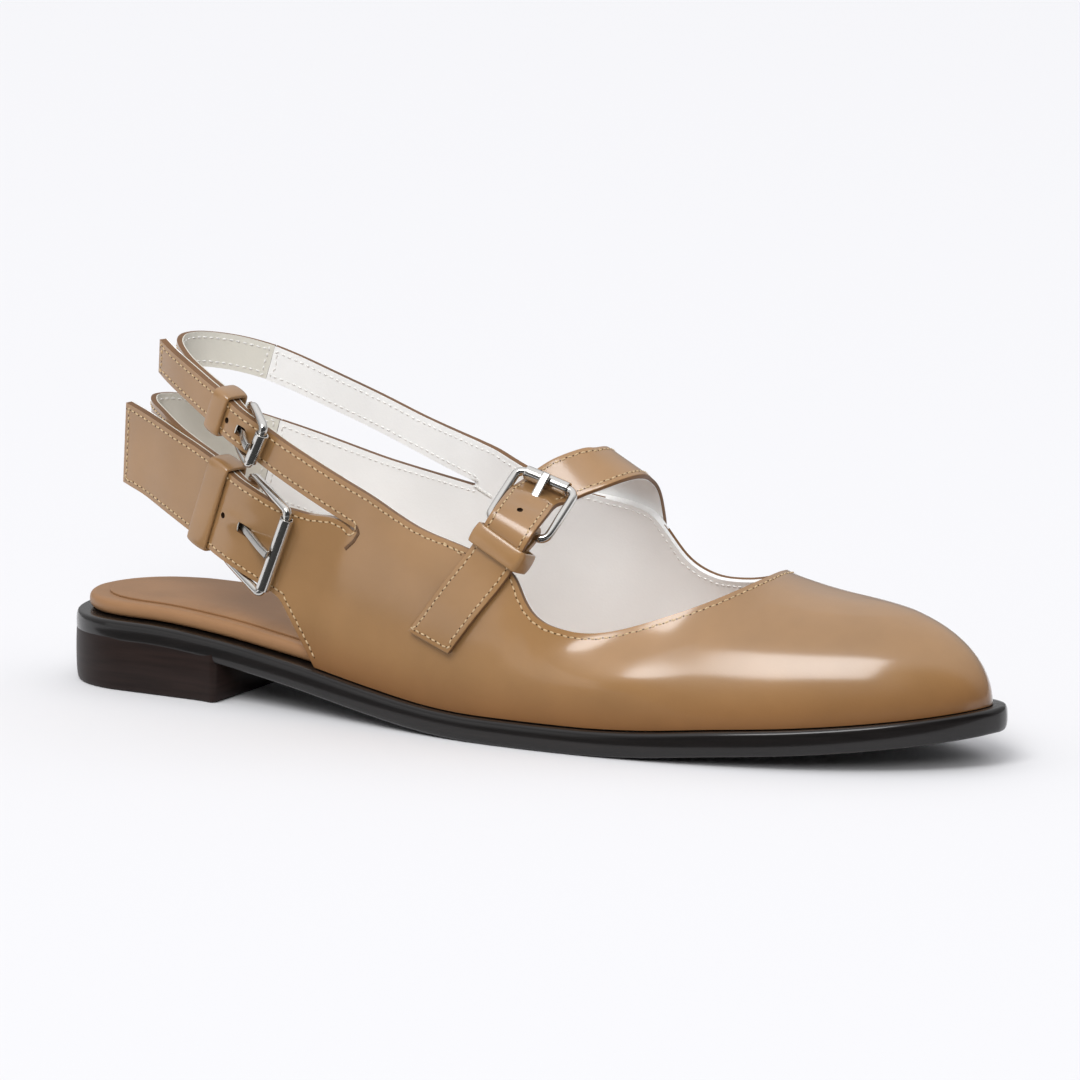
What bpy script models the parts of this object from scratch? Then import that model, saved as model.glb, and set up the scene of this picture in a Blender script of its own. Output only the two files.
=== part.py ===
"""Three-buckle slingback mary jane, right shoe.

Frame: +X to the toe, +Y to the inner (medial) side, +Z up. The origin is on the floor under the
middle of the outsole. Sizes and tables are in millimetres, and finished meshes are in metres.
Inside the script x runs from the back of the heel, and the last step moves everything to the origin.
"""
import math

import bmesh
import bpy
import numpy as np

MM = 0.001
LATERAL, MEDIAL = -1, 1

# Sole and footbed
LENGTH = 267.5
TOE_TIP_Y = 4.6
HEEL_ROUND = 24.0
HEEL_ROUNDNESS = 2.2
TOE_FULLNESS = {LATERAL: 2.2, MEDIAL: 2.1}
TOE_POINT = 0.58
SOLE_THICK = 6.6
SOLE_EDGE = 0.8
HEEL_LENGTH = 53.5
LEDGE, LEDGE_TOE, LEDGE_HEEL = 2.6, 4.0, 3.2
FOOTBED_THICK, FOOTBED_FRONT = 4.2, 2.4
FOOTBED_EDGE = 1.0
FOOTBED_NARROWS, FOOTBED_THINS = (66, 82), (60, 130)
FOOTBED_PLAY = 0.1
END_FLAT = 0.12

# Leather and clearances
WALL = 1.8
STRAP_THICK = 1.4
INSTEP_THICK = 1.6
KEEPER_THICK = 1.1
GAP = 0.3
FOLD_GAP = 0.25
FOLD_STRAIGHT, FOLD_JOIN = 2.5, 4.0
SEAT_SLOPE = 1.15

# Buckles: wire, roller and prong, and levels measured out from the outer face of the strap's line
WIRE = 1.1
ROLLER_IN, ROLLER_OUT = 1.4, 1.9
FRAME_CORNER = 2.2
FRAME_PLAY = {"upper": 0.45, "lower": 0.5, "instep": 0.9}
PRONG_WIDE, PRONG_THICK = 2.2, 1.2
PRONG_CLEAR = 0.35
PRONG_ARCH, PRONG_PAST = 0.6, 0.6
ROLLER_LEVEL = 2.5
BAR_LEVEL = -3.15
CHAPE_NARROWER = 0.9
OVER_BAR = 1.6
UPPER_STRAP_W, LOWER_STRAP_W, INSTEP_W = 9.2, 22.0, 13.0
UPPER_FRAME, LOWER_FRAME, INSTEP_FRAME = 10.2, 18.0, 17.5

# Half width of the outsole from its axis at each x, up to where the toe curve takes over
SOLE_LATERAL = {"x": (24, 50, 80, 110, 135, 152), "half": (22.6, 24.2, 28.0, 32.6, 36.2, 37.0)}
SOLE_MEDIAL = {"x": (24, 50, 80, 110, 135, 165, 190), "half": (24.6, 26.0, 24.4, 25.0, 29.0, 35.3, 37.4)}

# Underside of the outsole: seat, arch, ball on the floor, toe spring
SOLE_RISE = {
    "x": (0, 30, 50, 75, 100, 122, 135, 165, 182, 200, 225, 250, 267.5),
    "z": (12.0, 12.0, 10.6, 7.4, 3.3, 0.5, 0.0, 0.0, 0.6, 2.2, 4.0, 6.6, 9.0),
}

# Ridge of the last over the instep and vamp, and how full its sections are
RIDGE = {
    "x": (86, 105, 125, 145, 159, 175, 190, 205, 215, 224),
    "y": (1.0, 1.5, 2.0, 3.0, 4.0, 4.5, 5.0, 5.2, 5.2, 5.0),
    "z": (116, 101, 88.5, 76.5, 68.2, 58.2, 50.0, 43.2, 40.8, 39.6),
}
FULLNESS = {"x": (86, 125, 159, 190, 224), "power": (2.6, 2.35, 2.1, 1.82, 2.05)}
RIDGE_TURN = 185.0
THROAT_PEAK = 205.4

# Top edge of the upper on each side: collar, then throat up to its peak on the ridge
TOP_LATERAL = {
    "x": (101.5, 107, 117.5, 127, 138, 145.4, 147.8, 150.6, 155.6, 165, 175, 185, 195.4, 205.4),
    "z": (59.1, 56.5, 52.3, 50.2, 47.0, 43.4, 38.8, 35.1, 32.2, 31.0, 32.7, 35.9, 39.8, 44.0),
}
TOP_MEDIAL = {
    "x": (113.5, 120, 130, 142, 152, 158, 160.5, 163, 168, 175, 185, 193, 205.4),
    "z": (66.0, 62.5, 58.2, 56.0, 54.5, 52.0, 48.0, 42.5, 38.3, 36.3, 37.2, 39.4, 44.0),
}
# Columns of the wall under the throat, fanned so that they reach the peak evenly
THROAT = {
    "foot": (146, 149, 152, 155, 158, 161.5, 165.5, 170, 175, 180.5, 186, 191.5, 197, 202)
    + (206.3, 210, 213.2, 215.8, 218),
    "top": (145.5, 148, 150.5, 153, 155.5, 158, 161, 164.5, 169, 174.5, 180, 185.5, 191, 195.5)
    + (199, 201.6, 203.4, 204.5, 205.1),
}
PEAK_FOOT = 220.0
ROOT = {LATERAL: (83.8, 101.5), MEDIAL: (91.0, 113.5)}
SHEAR_END = 142.0
SLIT_LOW, SLIT_HIGH = 0.69, 0.715
# How far the lower lip of the lateral slit rises to nearly close it, by distance from its root
SLIT_LIP = {
    "s": (0, 3.1, 6.1, 9.2, 12.2, 15.3, 18.8, 22.3, 25.8),
    "rise": (0.0, 1.5, 2.5, 2.6, 2.3, 2.2, 1.7, 0.6, 0.0),
}
LIP_FADE = 6
WIDE_ROWS, NARROW_ROWS = 8, 3

# Lines of the straps: outer face of the leather, from the lateral side round to the medial side
UPPER_LINE = {
    "x": (99, 87, 68.5, 57, 45, 34.5, 28.5, 26.8, 28.5, 35, 47, 62, 78, 92, 106),
    "y": (-27.4, -27, -25.5, -23.3, -19.2, -12.5, -5.5, 0.5, 6.5, 13, 18.5, 21, 22.5, 23.6, 25.5),
    "z": (53.9, 59.8, 69.5, 75.7, 80.8, 84.5, 86.6, 87.2, 87.2, 86, 82.8, 77.2, 71.3, 65.5, 59.5),
}
LOWER_LINE = {
    "x": (93, 75.5, 56, 48.6, 36, 26.5, 20, 18, 20, 27, 38, 53, 69, 85, 100),
    "y": (-27.8, -27, -24, -22, -17.3, -11, -4.8, 0.5, 6, 11.5, 16, 19.5, 21.7, 23, 24),
    "z": (35.4, 42.0, 50.8, 53.9, 58.6, 61.9, 63.6, 64.1, 64.0, 62.4, 59.4, 55.4, 50.9, 46.6, 42.8),
}
INSTEP_LINE = {
    "x": (151.5, 152.2, 153.2, 155.5, 158, 156.5, 151, 145.2, 143.8, 138.8, 131.2, 122),
    "y": (28.2, 25.4, 22.4, 14.5, 5, -2.5, -7.5, -12, -28, -31.8, -33.5, -34.2),
    "z": (43, 52, 58, 65.3, 69, 69, 67, 63.6, 56, 46.5, 36.5, 24.5),
    "tilt": (3, 5, 12, 25, 30, 28, 24, 20, 20, 18, 18, 18),
}
ROLLER_X = {"upper": 68.5, "lower": 74.5, "instep": 145.2}
TONGUE_FREE = {"upper": 35.0, "lower": 43.0}
TONGUE_STAND_OFF = {"upper": 3.0, "lower": 5.5}
TONGUE_LIFT = {"upper": 2.0, "lower": 0.8}
TONGUE_BENDS = 14.0
STUB_END_X = 46.0
STUB_SETTLE = {"upper": 20.0, "lower": 26.0}

# Root of the instep strap on the medial quarter: width to the heel and to the toe at each height
STRAP_ROOT = {
    "z": (43, 44.2, 46.5, 50, 55, 58, 61.5, 65),
    "heel": (4.0, 8.0, 11.0, 14.5, 16.0, 11.5, 8.2, 6.5),
    "toe": (3.0, 5.0, 6.3, 6.8, 6.7, 6.6, 6.5, 6.5),
}
ROOTED = 0.3
END_SLANT, END_SLANT_RUN = 0.34, 12.0

# Height at which the instep strap is clear of a quarter, and over how much height it gets there
STRAP_LEAVES = {LATERAL: (47.3, 5.0), MEDIAL: (63.9, 7.0)}

# Keepers: start and end past the heel bar, then lowest and highest level inside the loop
KEEPER = {
    "instep": (4.6, 10.2, -5.6, 1.1),
    "upper": (3.4, 8.8, -4.5, 1.3),
    "lower": (3.8, 10.8, -4.5, 1.3),
}
KEEPER_PLAY, KEEPER_ROUND = 0.4, 0.5

LOOKS = {
    "tan leather": ((0.42, 0.25, 0.14), 0.32, 0.0),
    "tan footbed": ((0.40, 0.24, 0.13), 0.45, 0.0),
    "dark sole": ((0.022, 0.017, 0.015), 0.45, 0.0),
    "dark heel": ((0.028, 0.018, 0.014), 0.5, 0.0),
    "polished nickel": ((0.78, 0.77, 0.75), 0.14, 1.0),
}


def monotone(xs, ys):
    """A curve through a short table that never swings past its rows."""
    xs, ys = np.asarray(xs, float), np.asarray(ys, float)
    steps, slopes = np.diff(xs), np.diff(ys) / np.diff(xs)
    tangents = np.concatenate([slopes[:1], np.zeros(len(xs) - 2), slopes[-1:]])
    for k in range(1, len(xs) - 1):
        before, after = slopes[k - 1], slopes[k]
        if before * after > 0:
            tangents[k] = 2 * before * after / (before + after)

    def at(x):
        x = np.clip(x, xs[0], xs[-1])
        i = np.clip(np.searchsorted(xs, x) - 1, 0, len(xs) - 2)
        h = steps[i]
        t = (x - xs[i]) / h
        start = ys[i] * (1 + 2 * t) * (1 - t) ** 2 + tangents[i] * h * t * (1 - t) ** 2
        return start + ys[i + 1] * t * t * (3 - 2 * t) + tangents[i + 1] * h * t * t * (t - 1)

    return at


def unit(v):
    return v / np.linalg.norm(v)


SOLE_HALF = {
    LATERAL: monotone(SOLE_LATERAL["x"], SOLE_LATERAL["half"]),
    MEDIAL: monotone(SOLE_MEDIAL["x"], SOLE_MEDIAL["half"]),
}
TOE_START = {LATERAL: SOLE_LATERAL["x"][-1], MEDIAL: SOLE_MEDIAL["x"][-1]}
sole_low = monotone(SOLE_RISE["x"], SOLE_RISE["z"])
ridge_y = monotone(RIDGE["x"], RIDGE["y"])
ridge_z = monotone(RIDGE["x"], RIDGE["z"])
fullness = monotone(FULLNESS["x"], FULLNESS["power"])
slit_lip = monotone(SLIT_LIP["s"], SLIT_LIP["rise"])
top_edge = {
    LATERAL: monotone(TOP_LATERAL["x"], TOP_LATERAL["z"]),
    MEDIAL: monotone(TOP_MEDIAL["x"], TOP_MEDIAL["z"]),
}


def sole_top(x):
    return sole_low(x) + SOLE_THICK


def edge_y(x, side, inset=0.0, heel_inset=0.0, toe_inset=0.0):
    """Outline of the sole, or of a piece set in from it by the given ledges."""
    x = (x - heel_inset) * LENGTH / (LENGTH - heel_inset - toe_inset)
    x = min(max(x, 0.0), LENGTH)
    half = float(SOLE_HALF[side](x)) - inset
    if x < HEEL_ROUND:
        half *= math.sqrt(max(0.0, 1 - (1 - x / HEEL_ROUND) ** HEEL_ROUNDNESS))
    toe = max(0.0, (x - TOE_START[side]) / (LENGTH - TOE_START[side]))
    closing = (1 - toe ** TOE_FULLNESS[side]) ** TOE_POINT
    return TOE_TIP_Y + (side * half - TOE_TIP_Y) * closing


FEATHER_TIP = LENGTH - LEDGE_TOE


def feather_y(x, side):
    return edge_y(x, side, LEDGE, LEDGE_HEEL, LEDGE_TOE)


def ridge_x(x):
    """Where the section that starts at x on the feather line meets the ridge: the toe fans out."""
    if x <= RIDGE_TURN:
        return x
    span = FEATHER_TIP - RIDGE_TURN
    t = (x - RIDGE_TURN) / span
    return RIDGE_TURN + span * (t - t * t / 2)


def wall_point(x, side, turn):
    """Outer face of the upper: turn runs from 0 on the feather line to a right angle on the ridge."""
    rx = ridge_x(x)
    power = 2 / float(fullness(rx))
    rise, reach = math.sin(turn) ** power, math.cos(turn) ** power
    foot_y, foot_z = feather_y(x, side), float(sole_top(x)) + GAP
    return np.array(
        [
            rx + (x - rx) * reach,
            float(ridge_y(rx)) + (foot_y - float(ridge_y(rx))) * reach,
            foot_z + (float(ridge_z(rx)) - foot_z) * rise,
        ]
    )


def wall_turn(x, z):
    """The turn at which the wall above x reaches the height z."""
    rx = ridge_x(x)
    foot_z = float(sole_top(x)) + GAP
    rise = min(max((z - foot_z) / (float(ridge_z(rx)) - foot_z), 0.0), 1.0)
    return math.asin(rise ** (float(fullness(rx)) / 2))


def wall_y(x, z, side):
    return wall_point(x, side, wall_turn(x, z))[1]


class Line:
    """A strap's line with its own frame: along, across and out from the leather.

    The tilt of the across direction is measured from the heelward axis, upright where no table
    gives it.
    """

    def __init__(self, table):
        rows = np.array([table["x"], table["y"], table["z"]], float).T
        chord = np.concatenate([[0], np.cumsum(np.linalg.norm(np.diff(rows, axis=0), axis=1))])
        fine = np.linspace(0, chord[-1], 600)
        self.points = np.array([self.through(chord, rows[:, k], fine) for k in range(3)]).T
        steps = np.linalg.norm(np.diff(self.points, axis=0), axis=1)
        self.run = np.concatenate([[0], np.cumsum(steps)])
        self.length = self.run[-1]
        tilt = np.radians(table["tilt"]) if "tilt" in table else np.full(len(rows), math.pi / 2)
        self.tilt = np.interp(fine, chord, tilt)

    @staticmethod
    def through(chord, values, fine):
        """Smooth cubic through the rows, with tangents from each row's neighbours."""
        slopes = np.diff(values) / np.diff(chord)
        steps = np.diff(chord)
        inner = (slopes[:-1] * steps[1:] + slopes[1:] * steps[:-1]) / (steps[:-1] + steps[1:])
        tangents = np.concatenate([slopes[:1], inner, slopes[-1:]])
        i = np.clip(np.searchsorted(chord, fine) - 1, 0, len(chord) - 2)
        h = steps[i]
        t = (fine - chord[i]) / h
        start = values[i] * (1 + 2 * t) * (1 - t) ** 2 + tangents[i] * h * t * (1 - t) ** 2
        return start + values[i + 1] * t * t * (3 - 2 * t) + tangents[i + 1] * h * t * t * (t - 1)

    def place(self, s):
        return np.array([np.interp(s, self.run, self.points[:, k]) for k in range(3)])

    def frame(self, s):
        """Point on the line, then the directions along, across and out."""
        along = unit(self.place(min(s + 1, self.length)) - self.place(max(s - 1, 0)))
        tilt = np.interp(s, self.run, self.tilt)
        across = np.array([-math.cos(tilt), 0.0, math.sin(tilt)])
        across = unit(across - along * (across @ along))
        return self.place(s), along, across, np.cross(across, along)

    def at_x(self, x, first_half=True):
        """Distance along the line where it passes x, on its first or its last half."""
        half = len(self.run) // 2
        part = slice(0, half) if first_half else slice(half, None)
        return float(self.run[part][np.argmin(np.abs(self.points[part, 0] - x))])


def material(name):
    colour, rough, metal = LOOKS[name]
    made = bpy.data.materials.get(name) or bpy.data.materials.new(name)
    made.use_nodes = True
    shader = made.node_tree.nodes["Principled BSDF"]
    shader.inputs["Base Color"].default_value = (*colour, 1)
    shader.inputs["Roughness"].default_value = rough
    shader.inputs["Metallic"].default_value = metal
    return made


def face_out(mesh):
    """Turns a closed mesh right side out where its path ran the other way."""
    shape = bmesh.new()
    shape.from_mesh(mesh)
    closed = all(edge.is_manifold for edge in shape.edges)
    if closed and shape.calc_volume(signed=True) < 0:
        bmesh.ops.reverse_faces(shape, faces=shape.faces)
        shape.to_mesh(mesh)
    shape.free()


def new_object(name, points, faces, look):
    """A smooth-shaded object from points in millimetres, moved to the part's own origin."""
    mesh = bpy.data.meshes.new(name)
    origin = np.array([LENGTH / 2, MIDDLE_Y, 0.0])
    mesh.from_pydata([tuple((np.asarray(p) - origin) * MM) for p in points], [], faces)
    face_out(mesh)
    mesh.materials.append(material(look))
    mesh.shade_smooth()
    mesh.set_sharp_from_angle(angle=math.radians(40))
    made = bpy.data.objects.new(name, mesh)
    bpy.context.scene.collection.objects.link(made)
    return made


def outline_middle():
    """Half way between the outermost points of the outsole on its two sides."""
    xs = np.linspace(0, LENGTH, 400)
    return (max(edge_y(x, MEDIAL) for x in xs) + min(edge_y(x, LATERAL) for x in xs)) / 2


MIDDLE_Y = outline_middle()


def stations(start, end, count, close_start=False, close_end=False):
    """Places along x, closer together where the outline turns round the heel or the toe."""
    t = np.linspace(0, 1, count)
    if close_start and close_end:
        t = (1 - np.cos(math.pi * t)) / 2
    elif close_start:
        t = 1 - np.cos(math.pi / 2 * t)
    elif close_end:
        t = np.sin(math.pi / 2 * t)
    return start + (end - start) * t


def slab(name, xs, edge, low, high, chamfer, look):
    """A flat layer of the sole: edge(x, side) outline, low(x) and high(x) faces, chamfered rim."""
    rim = [(x, edge(x, LATERAL)) for x in xs] + [(x, edge(x, MEDIAL)) for x in xs[::-1]]
    rim = np.array(rim)
    count = len(rim)
    following = np.roll(rim, -1, axis=0) - np.roll(rim, 1, axis=0)
    inward = np.stack([-following[:, 1], following[:, 0]], axis=1)
    inward /= np.linalg.norm(inward, axis=1)[:, None]
    levels = ((low, 0.0, chamfer), (low, chamfer, 0.0), (high, -chamfer, 0.0), (high, 0.0, chamfer))
    points = []
    for face, shift, inset in levels:
        ring = rim + inward * inset
        points += [(p[0], p[1], float(face(r[0])) + shift) for p, r in zip(ring, rim)]
    faces = []
    for level in range(len(levels) - 1):
        for k in range(count):
            a, b = level * count + k, level * count + (k + 1) % count
            faces.append((a, b, b + count, a + count))
    last = (len(levels) - 1) * count
    for k in range(len(xs) - 1):
        a, b, c, d = k, k + 1, count - 2 - k, count - 1 - k
        faces.append((d, c, b, a))
        faces.append((last + a, last + b, last + c, last + d))
    return new_object(name, points, faces, look)


def strip(name, sections, look):
    """A flat strap: sections of (middle, across, out, reach one way, reach the other, thickness)."""
    points, faces = [], []
    for middle, across, out, low, high, thick in sections:
        places = (low, (low + high) / 2, high)
        points += [middle + across * w + out * thick / 2 for w in places]
        points += [middle + across * w - out * thick / 2 for w in reversed(places)]
    size = 6
    for k in range(len(sections) - 1):
        for c in range(size):
            a, b = k * size + c, k * size + (c + 1) % size
            faces.append((a, b, b + size, a + size))
    end = (len(sections) - 1) * size
    for c in (0, 1):
        faces.append((c, size - 1 - c, size - 2 - c, c + 1))
        faces.append((end + c, end + c + 1, end + size - 2 - c, end + size - 1 - c))
    return new_object(name, points, faces, look)


def tube(name, centres, rights, ups, radius, sides, look):
    """A closed ring of round wire."""
    points, faces = [], []
    for centre, right, up in zip(centres, rights, ups):
        for k in range(sides):
            a = 2 * math.pi * k / sides
            points.append(centre + (right * math.cos(a) + up * math.sin(a)) * radius)
    rings = len(centres)
    for i in range(rings):
        for k in range(sides):
            a, b = i * sides + k, i * sides + (k + 1) % sides
            c, d = (i + 1) % rings * sides + (k + 1) % sides, (i + 1) % rings * sides + k
            faces.append((a, b, c, d))
    return new_object(name, points, faces, look)


def cutter_for(piece, cutter):
    """Cuts one object out of another and leaves the cutter as a hidden guide."""
    cut = piece.modifiers.new("cut", "BOOLEAN")
    cut.operation = "DIFFERENCE"
    cut.solver = "EXACT"
    cut.object = cutter
    cutter.hide_render = True
    cutter.display_type = "WIRE"


def build_sole():
    outline = stations(END_FLAT, LENGTH - END_FLAT, 45, True, True)
    slab("outsole", outline, edge_y, sole_low, sole_top, SOLE_EDGE, "dark sole")
    seat = stations(END_FLAT, HEEL_LENGTH, 20, close_start=True)
    slab("heel", seat, edge_y, lambda x: 0.0, lambda x: sole_low(x) - GAP, SOLE_EDGE, "dark heel")


def build_insole():
    """Footbed: flush with the ledge at the open heel, inside the wall of the upper further on."""
    inside = LEDGE + WALL + GAP + FOOTBED_PLAY
    inset = monotone((0, *FOOTBED_NARROWS, LENGTH), (LEDGE_HEEL, LEDGE_HEEL, inside, inside))
    toe_inset = LEDGE_TOE + WALL + GAP + 2 * FOOTBED_PLAY
    thicks = (FOOTBED_THICK, FOOTBED_THICK, FOOTBED_FRONT, FOOTBED_FRONT)
    thick = monotone((0, *FOOTBED_THINS, LENGTH), thicks)

    def edge(x, side):
        return edge_y(x, side, float(inset(x)), LEDGE_HEEL, toe_inset)

    def low(x):
        return sole_top(x) + GAP

    def high(x):
        return sole_top(x) + GAP + thick(x)

    places = stations(LEDGE_HEEL + END_FLAT, LENGTH - toe_inset - END_FLAT, 41, True, True)
    slab("insole", places, edge, low, high, FOOTBED_EDGE, "tan footbed")


class Buckle:
    """Frame, roller and prong set on a strap's line, where it passes under the roller."""

    def __init__(self, name, line, roller_s, length, width):
        self.name, self.line, self.width = name, line, width
        self.bar_s = roller_s + length
        point, _, across, out = line.frame(self.bar_s)
        self.bar = point + out * BAR_LEVEL
        point, _, _, out = line.frame(roller_s)
        roller = point + out * ROLLER_LEVEL
        self.length = np.linalg.norm(roller - self.bar)
        self.to_roller = unit(roller - self.bar)
        self.across = unit(across - self.to_roller * (across @ self.to_roller))
        self.out = np.cross(self.to_roller, self.across)

    def local(self, t, b, n):
        return self.bar + self.to_roller * t + self.across * b + self.out * n

    def build(self):
        self.build_frame()
        self.build_roller()
        return self.build_prong(f"buckle_prong_{self.name}", 0.0)

    def build_frame(self):
        side = self.width / 2 + FRAME_PLAY[self.name] + WIRE
        corners = ((0, -side, 180), (self.length, -side, 270), (self.length, side, 0), (0, side, 90))
        centres, rights = [], []
        for t, b, start in corners:
            inner_t = t + (FRAME_CORNER if t == 0 else -FRAME_CORNER)
            inner_b = b - math.copysign(FRAME_CORNER, b)
            for step in range(5):
                a = math.radians(start + 90 * step / 4)
                ray = self.to_roller * math.cos(a) + self.across * math.sin(a)
                centres.append(self.local(inner_t, inner_b, 0) + ray * FRAME_CORNER)
                rights.append(ray)
        ups = [self.out] * len(centres)
        tube(f"buckle_frame_{self.name}", centres, rights, ups, WIRE, 8, "polished nickel")

    def build_roller(self):
        half = self.width / 2 - GAP
        loops = ((-half, ROLLER_OUT), (half, ROLLER_OUT), (half, ROLLER_IN), (-half, ROLLER_IN))
        sides, points, faces = 14, [], []
        for b, radius in loops:
            for k in range(sides):
                a = 2 * math.pi * k / sides
                points.append(self.local(self.length + radius * math.cos(a), b, radius * math.sin(a)))
        for loop in range(4):
            for k in range(sides):
                a, b = loop * sides + k, loop * sides + (k + 1) % sides
                after = (loop + 1) % 4 * sides
                faces.append((a, after + k, after + (k + 1) % sides, b))
        new_object(f"buckle_roller_{self.name}", points, faces, "polished nickel")

    def build_prong(self, name, clear):
        """Strip bent round the heel bar, up through the strap and on to the roller."""
        radius = WIRE + FOLD_GAP + PRONG_THICK / 2
        path = [
            (radius * math.cos(math.radians(a)), radius * math.sin(math.radians(a)))
            for a in range(-60, -271, -21)
        ]
        rest = ROLLER_OUT + FOLD_GAP + PRONG_THICK / 2
        levels = (radius + 0.15, radius + PRONG_ARCH, rest + PRONG_ARCH / 2, rest)
        places = (2.0, self.length * 0.45, self.length * 0.8, self.length + PRONG_PAST + clear)
        path += list(zip(places, levels))
        path = np.array(path)
        steps = np.gradient(path, axis=0)
        half = PRONG_WIDE / 2 + clear
        sections = []
        for (t, n), (dt, dn) in zip(path, steps):
            normal = unit(self.out * dt - self.to_roller * dn)
            middle = self.local(t, 0, n)
            sections.append((middle, self.across, normal, -half, half, PRONG_THICK + 2 * clear))
        return strip(name, sections, "polished nickel")


def tongue_level(buckle, key):
    """How far the outer face of a tongue stands off its line, by distance past the heel bar."""
    free = TONGUE_FREE[key]
    past = (-buckle.length - TONGUE_BENDS, -buckle.length, -buckle.length * 0.45, 0, 9, 16, free * 0.7, free)
    out = (0, 0, 1.0, OVER_BAR, 0.3, 0.1, 0.3 * TONGUE_STAND_OFF[key], TONGUE_STAND_OFF[key])
    return monotone(past, out)


def root_rows():
    """Row places across a quarter: the lower tongue's, the slit, then the upper tongue's."""
    low = [SLIT_LOW * j / WIDE_ROWS for j in range(WIDE_ROWS + 1)]
    high = [SLIT_HIGH + (1 - SLIT_HIGH) * j / NARROW_ROWS for j in range(NARROW_ROWS + 1)]
    return low + high


def quarter_columns(side):
    """Foot and top of each column of the wall, from the back of the quarter to the toe."""
    foot, top = ROOT[side]
    columns = []
    for t in np.linspace(0, 1, 10):
        columns.append((foot + (SHEAR_END - foot) * t, top + (SHEAR_END - top) * t))
    columns += list(zip(THROAT["foot"], THROAT["top"]))
    t = 1 - (1 - np.linspace(0, 1, 12)) ** 2
    feet = PEAK_FOOT + (FEATHER_TIP - PEAK_FOOT) * t
    tops = THROAT_PEAK + (FEATHER_TIP - THROAT_PEAK) * t
    return columns + list(zip(feet, tops))


class Sheet:
    """Points and faces of the upper's outer face, gathered patch by patch."""

    def __init__(self):
        self.points, self.faces = [], []

    def add(self, point):
        self.points.append(point)
        return len(self.points) - 1

    def fill(self, columns, flip):
        for left, right in zip(columns, columns[1:]):
            for low in range(len(left) - 1):
                face = (left[low], right[low], right[low + 1], left[low + 1])
                self.faces.append(face[::-1] if flip else face)


def add_quarter(sheet, side):
    """One side of the upper from its back edge to the toe; returns the column at its back edge."""
    rows, made = root_rows(), []
    for foot, top in quarter_columns(side):
        peak = math.pi / 2 if top >= THROAT_PEAK else wall_turn(top, float(top_edge[side](top)))
        column = [sheet.add(wall_point(foot + (top - foot) * f, side, peak * f)) for f in rows]
        made.append(column)
    sheet.fill(made, side == MEDIAL)
    return made[0]


def add_tongue(sheet, root, line, half, start, stops, settle, level, lift, flip, lip=None):
    """A strap that grows out of the quarter: its root shape fades out over the settling length."""
    columns = [root]
    middle, _, across, _ = line.frame(start)
    reach = np.linspace(-half, half, len(root))
    offsets = [sheet.points[v] - (middle + across * w) for v, w in zip(root, reach)]
    for s in stops:
        fade = max(0.0, 1 - abs(s - start) / settle)
        point, _, across, out = line.frame(s)
        base = point + out * float(level(s)) + across * float(lift(s))
        raised = float(lip(s)) if lip else 0.0
        column = []
        for w, o in zip(reach, offsets):
            wide = w + raised * (0.5 + w / half / 2) ** LIP_FADE
            column.append(sheet.add(base + across * wide + o * fade))
        columns.append(column)
    sheet.fill(columns, flip)


def build_upper(lines, buckles):
    """Vamp and quarters with both tongues and both strap stubs, one wall of even thickness."""
    sheet = Sheet()
    lateral, medial = add_quarter(sheet, LATERAL), add_quarter(sheet, MEDIAL)
    halves = {"upper": UPPER_STRAP_W / 2, "lower": LOWER_STRAP_W / 2}
    for key, rows in (("lower", slice(0, WIDE_ROWS + 1)), ("upper", slice(WIDE_ROWS + 1, None))):
        line, buckle = lines[key], buckles[key]
        end = buckle.bar_s + TONGUE_FREE[key]
        face, lift_end = tongue_level(buckle, key), TONGUE_LIFT[key]

        def level(s, face=face, bar=buckle.bar_s):
            return face(s - bar)

        def lift(s, bar=buckle.bar_s, end=end, most=lift_end):
            return most * max(0.0, (s - bar - TONGUE_BENDS) / (end - bar - TONGUE_BENDS)) ** 1.5

        settled = buckle.bar_s - buckle.length - ROLLER_OUT - 1
        stops = np.concatenate([np.linspace(0, settled, 6)[1:], np.linspace(settled, end, 19)[1:]])
        lip = slit_lip if key == "lower" else None
        add_tongue(sheet, lateral[rows], line, halves[key], 0.0, stops, settled, level, lift, True, lip)
        stub = line.at_x(STUB_END_X, first_half=False)
        stops = np.linspace(line.length, stub, 10)[1:]
        add_tongue(
            sheet, medial[rows], line, halves[key], line.length, stops, STUB_SETTLE[key],
            lambda s: 0.0, lambda s: 0.0, False,
        )
    upper = new_object("upper", sheet.points, sheet.faces, "tan leather")
    shape = bmesh.new()
    shape.from_mesh(upper.data)
    bmesh.ops.remove_doubles(shape, verts=shape.verts, dist=0.00001)
    shape.to_mesh(upper.data)
    shape.free()
    wall = upper.modifiers.new("wall", "SOLIDIFY")
    wall.thickness = WALL * MM
    wall.offset = -1
    wall.use_even_offset = True
    wall.use_quality_normals = True
    return upper


def path_sections(line, buckle, path, half, thick):
    """Sections of a folded strap from its path of (distance past the bar, level) pairs.

    Near the bar the path is laid out straight, so that a fold stays round, and it joins the
    strap's line further on.
    """
    path = np.array(path, float)
    steps = np.gradient(path, axis=0)
    bar_point, bar_along, _, bar_out = line.frame(buckle.bar_s)
    sections = []
    for (d, level), (dd, dl) in zip(path, steps):
        point, along, across, out = line.frame(buckle.bar_s + d)
        joined = min(max((d - FOLD_STRAIGHT) / FOLD_JOIN, 0.0), 1.0)
        straight = bar_point + bar_along * d + bar_out * level
        along = unit(bar_along + (along - bar_along) * joined)
        across = unit(buckle.across + (across - buckle.across) * joined)
        middle = straight + (point + out * level - straight) * joined
        normal = unit(np.cross(across, along) * dd - along * dl)
        sections.append((middle, across, normal, -half, half, thick))
    return sections


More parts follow.
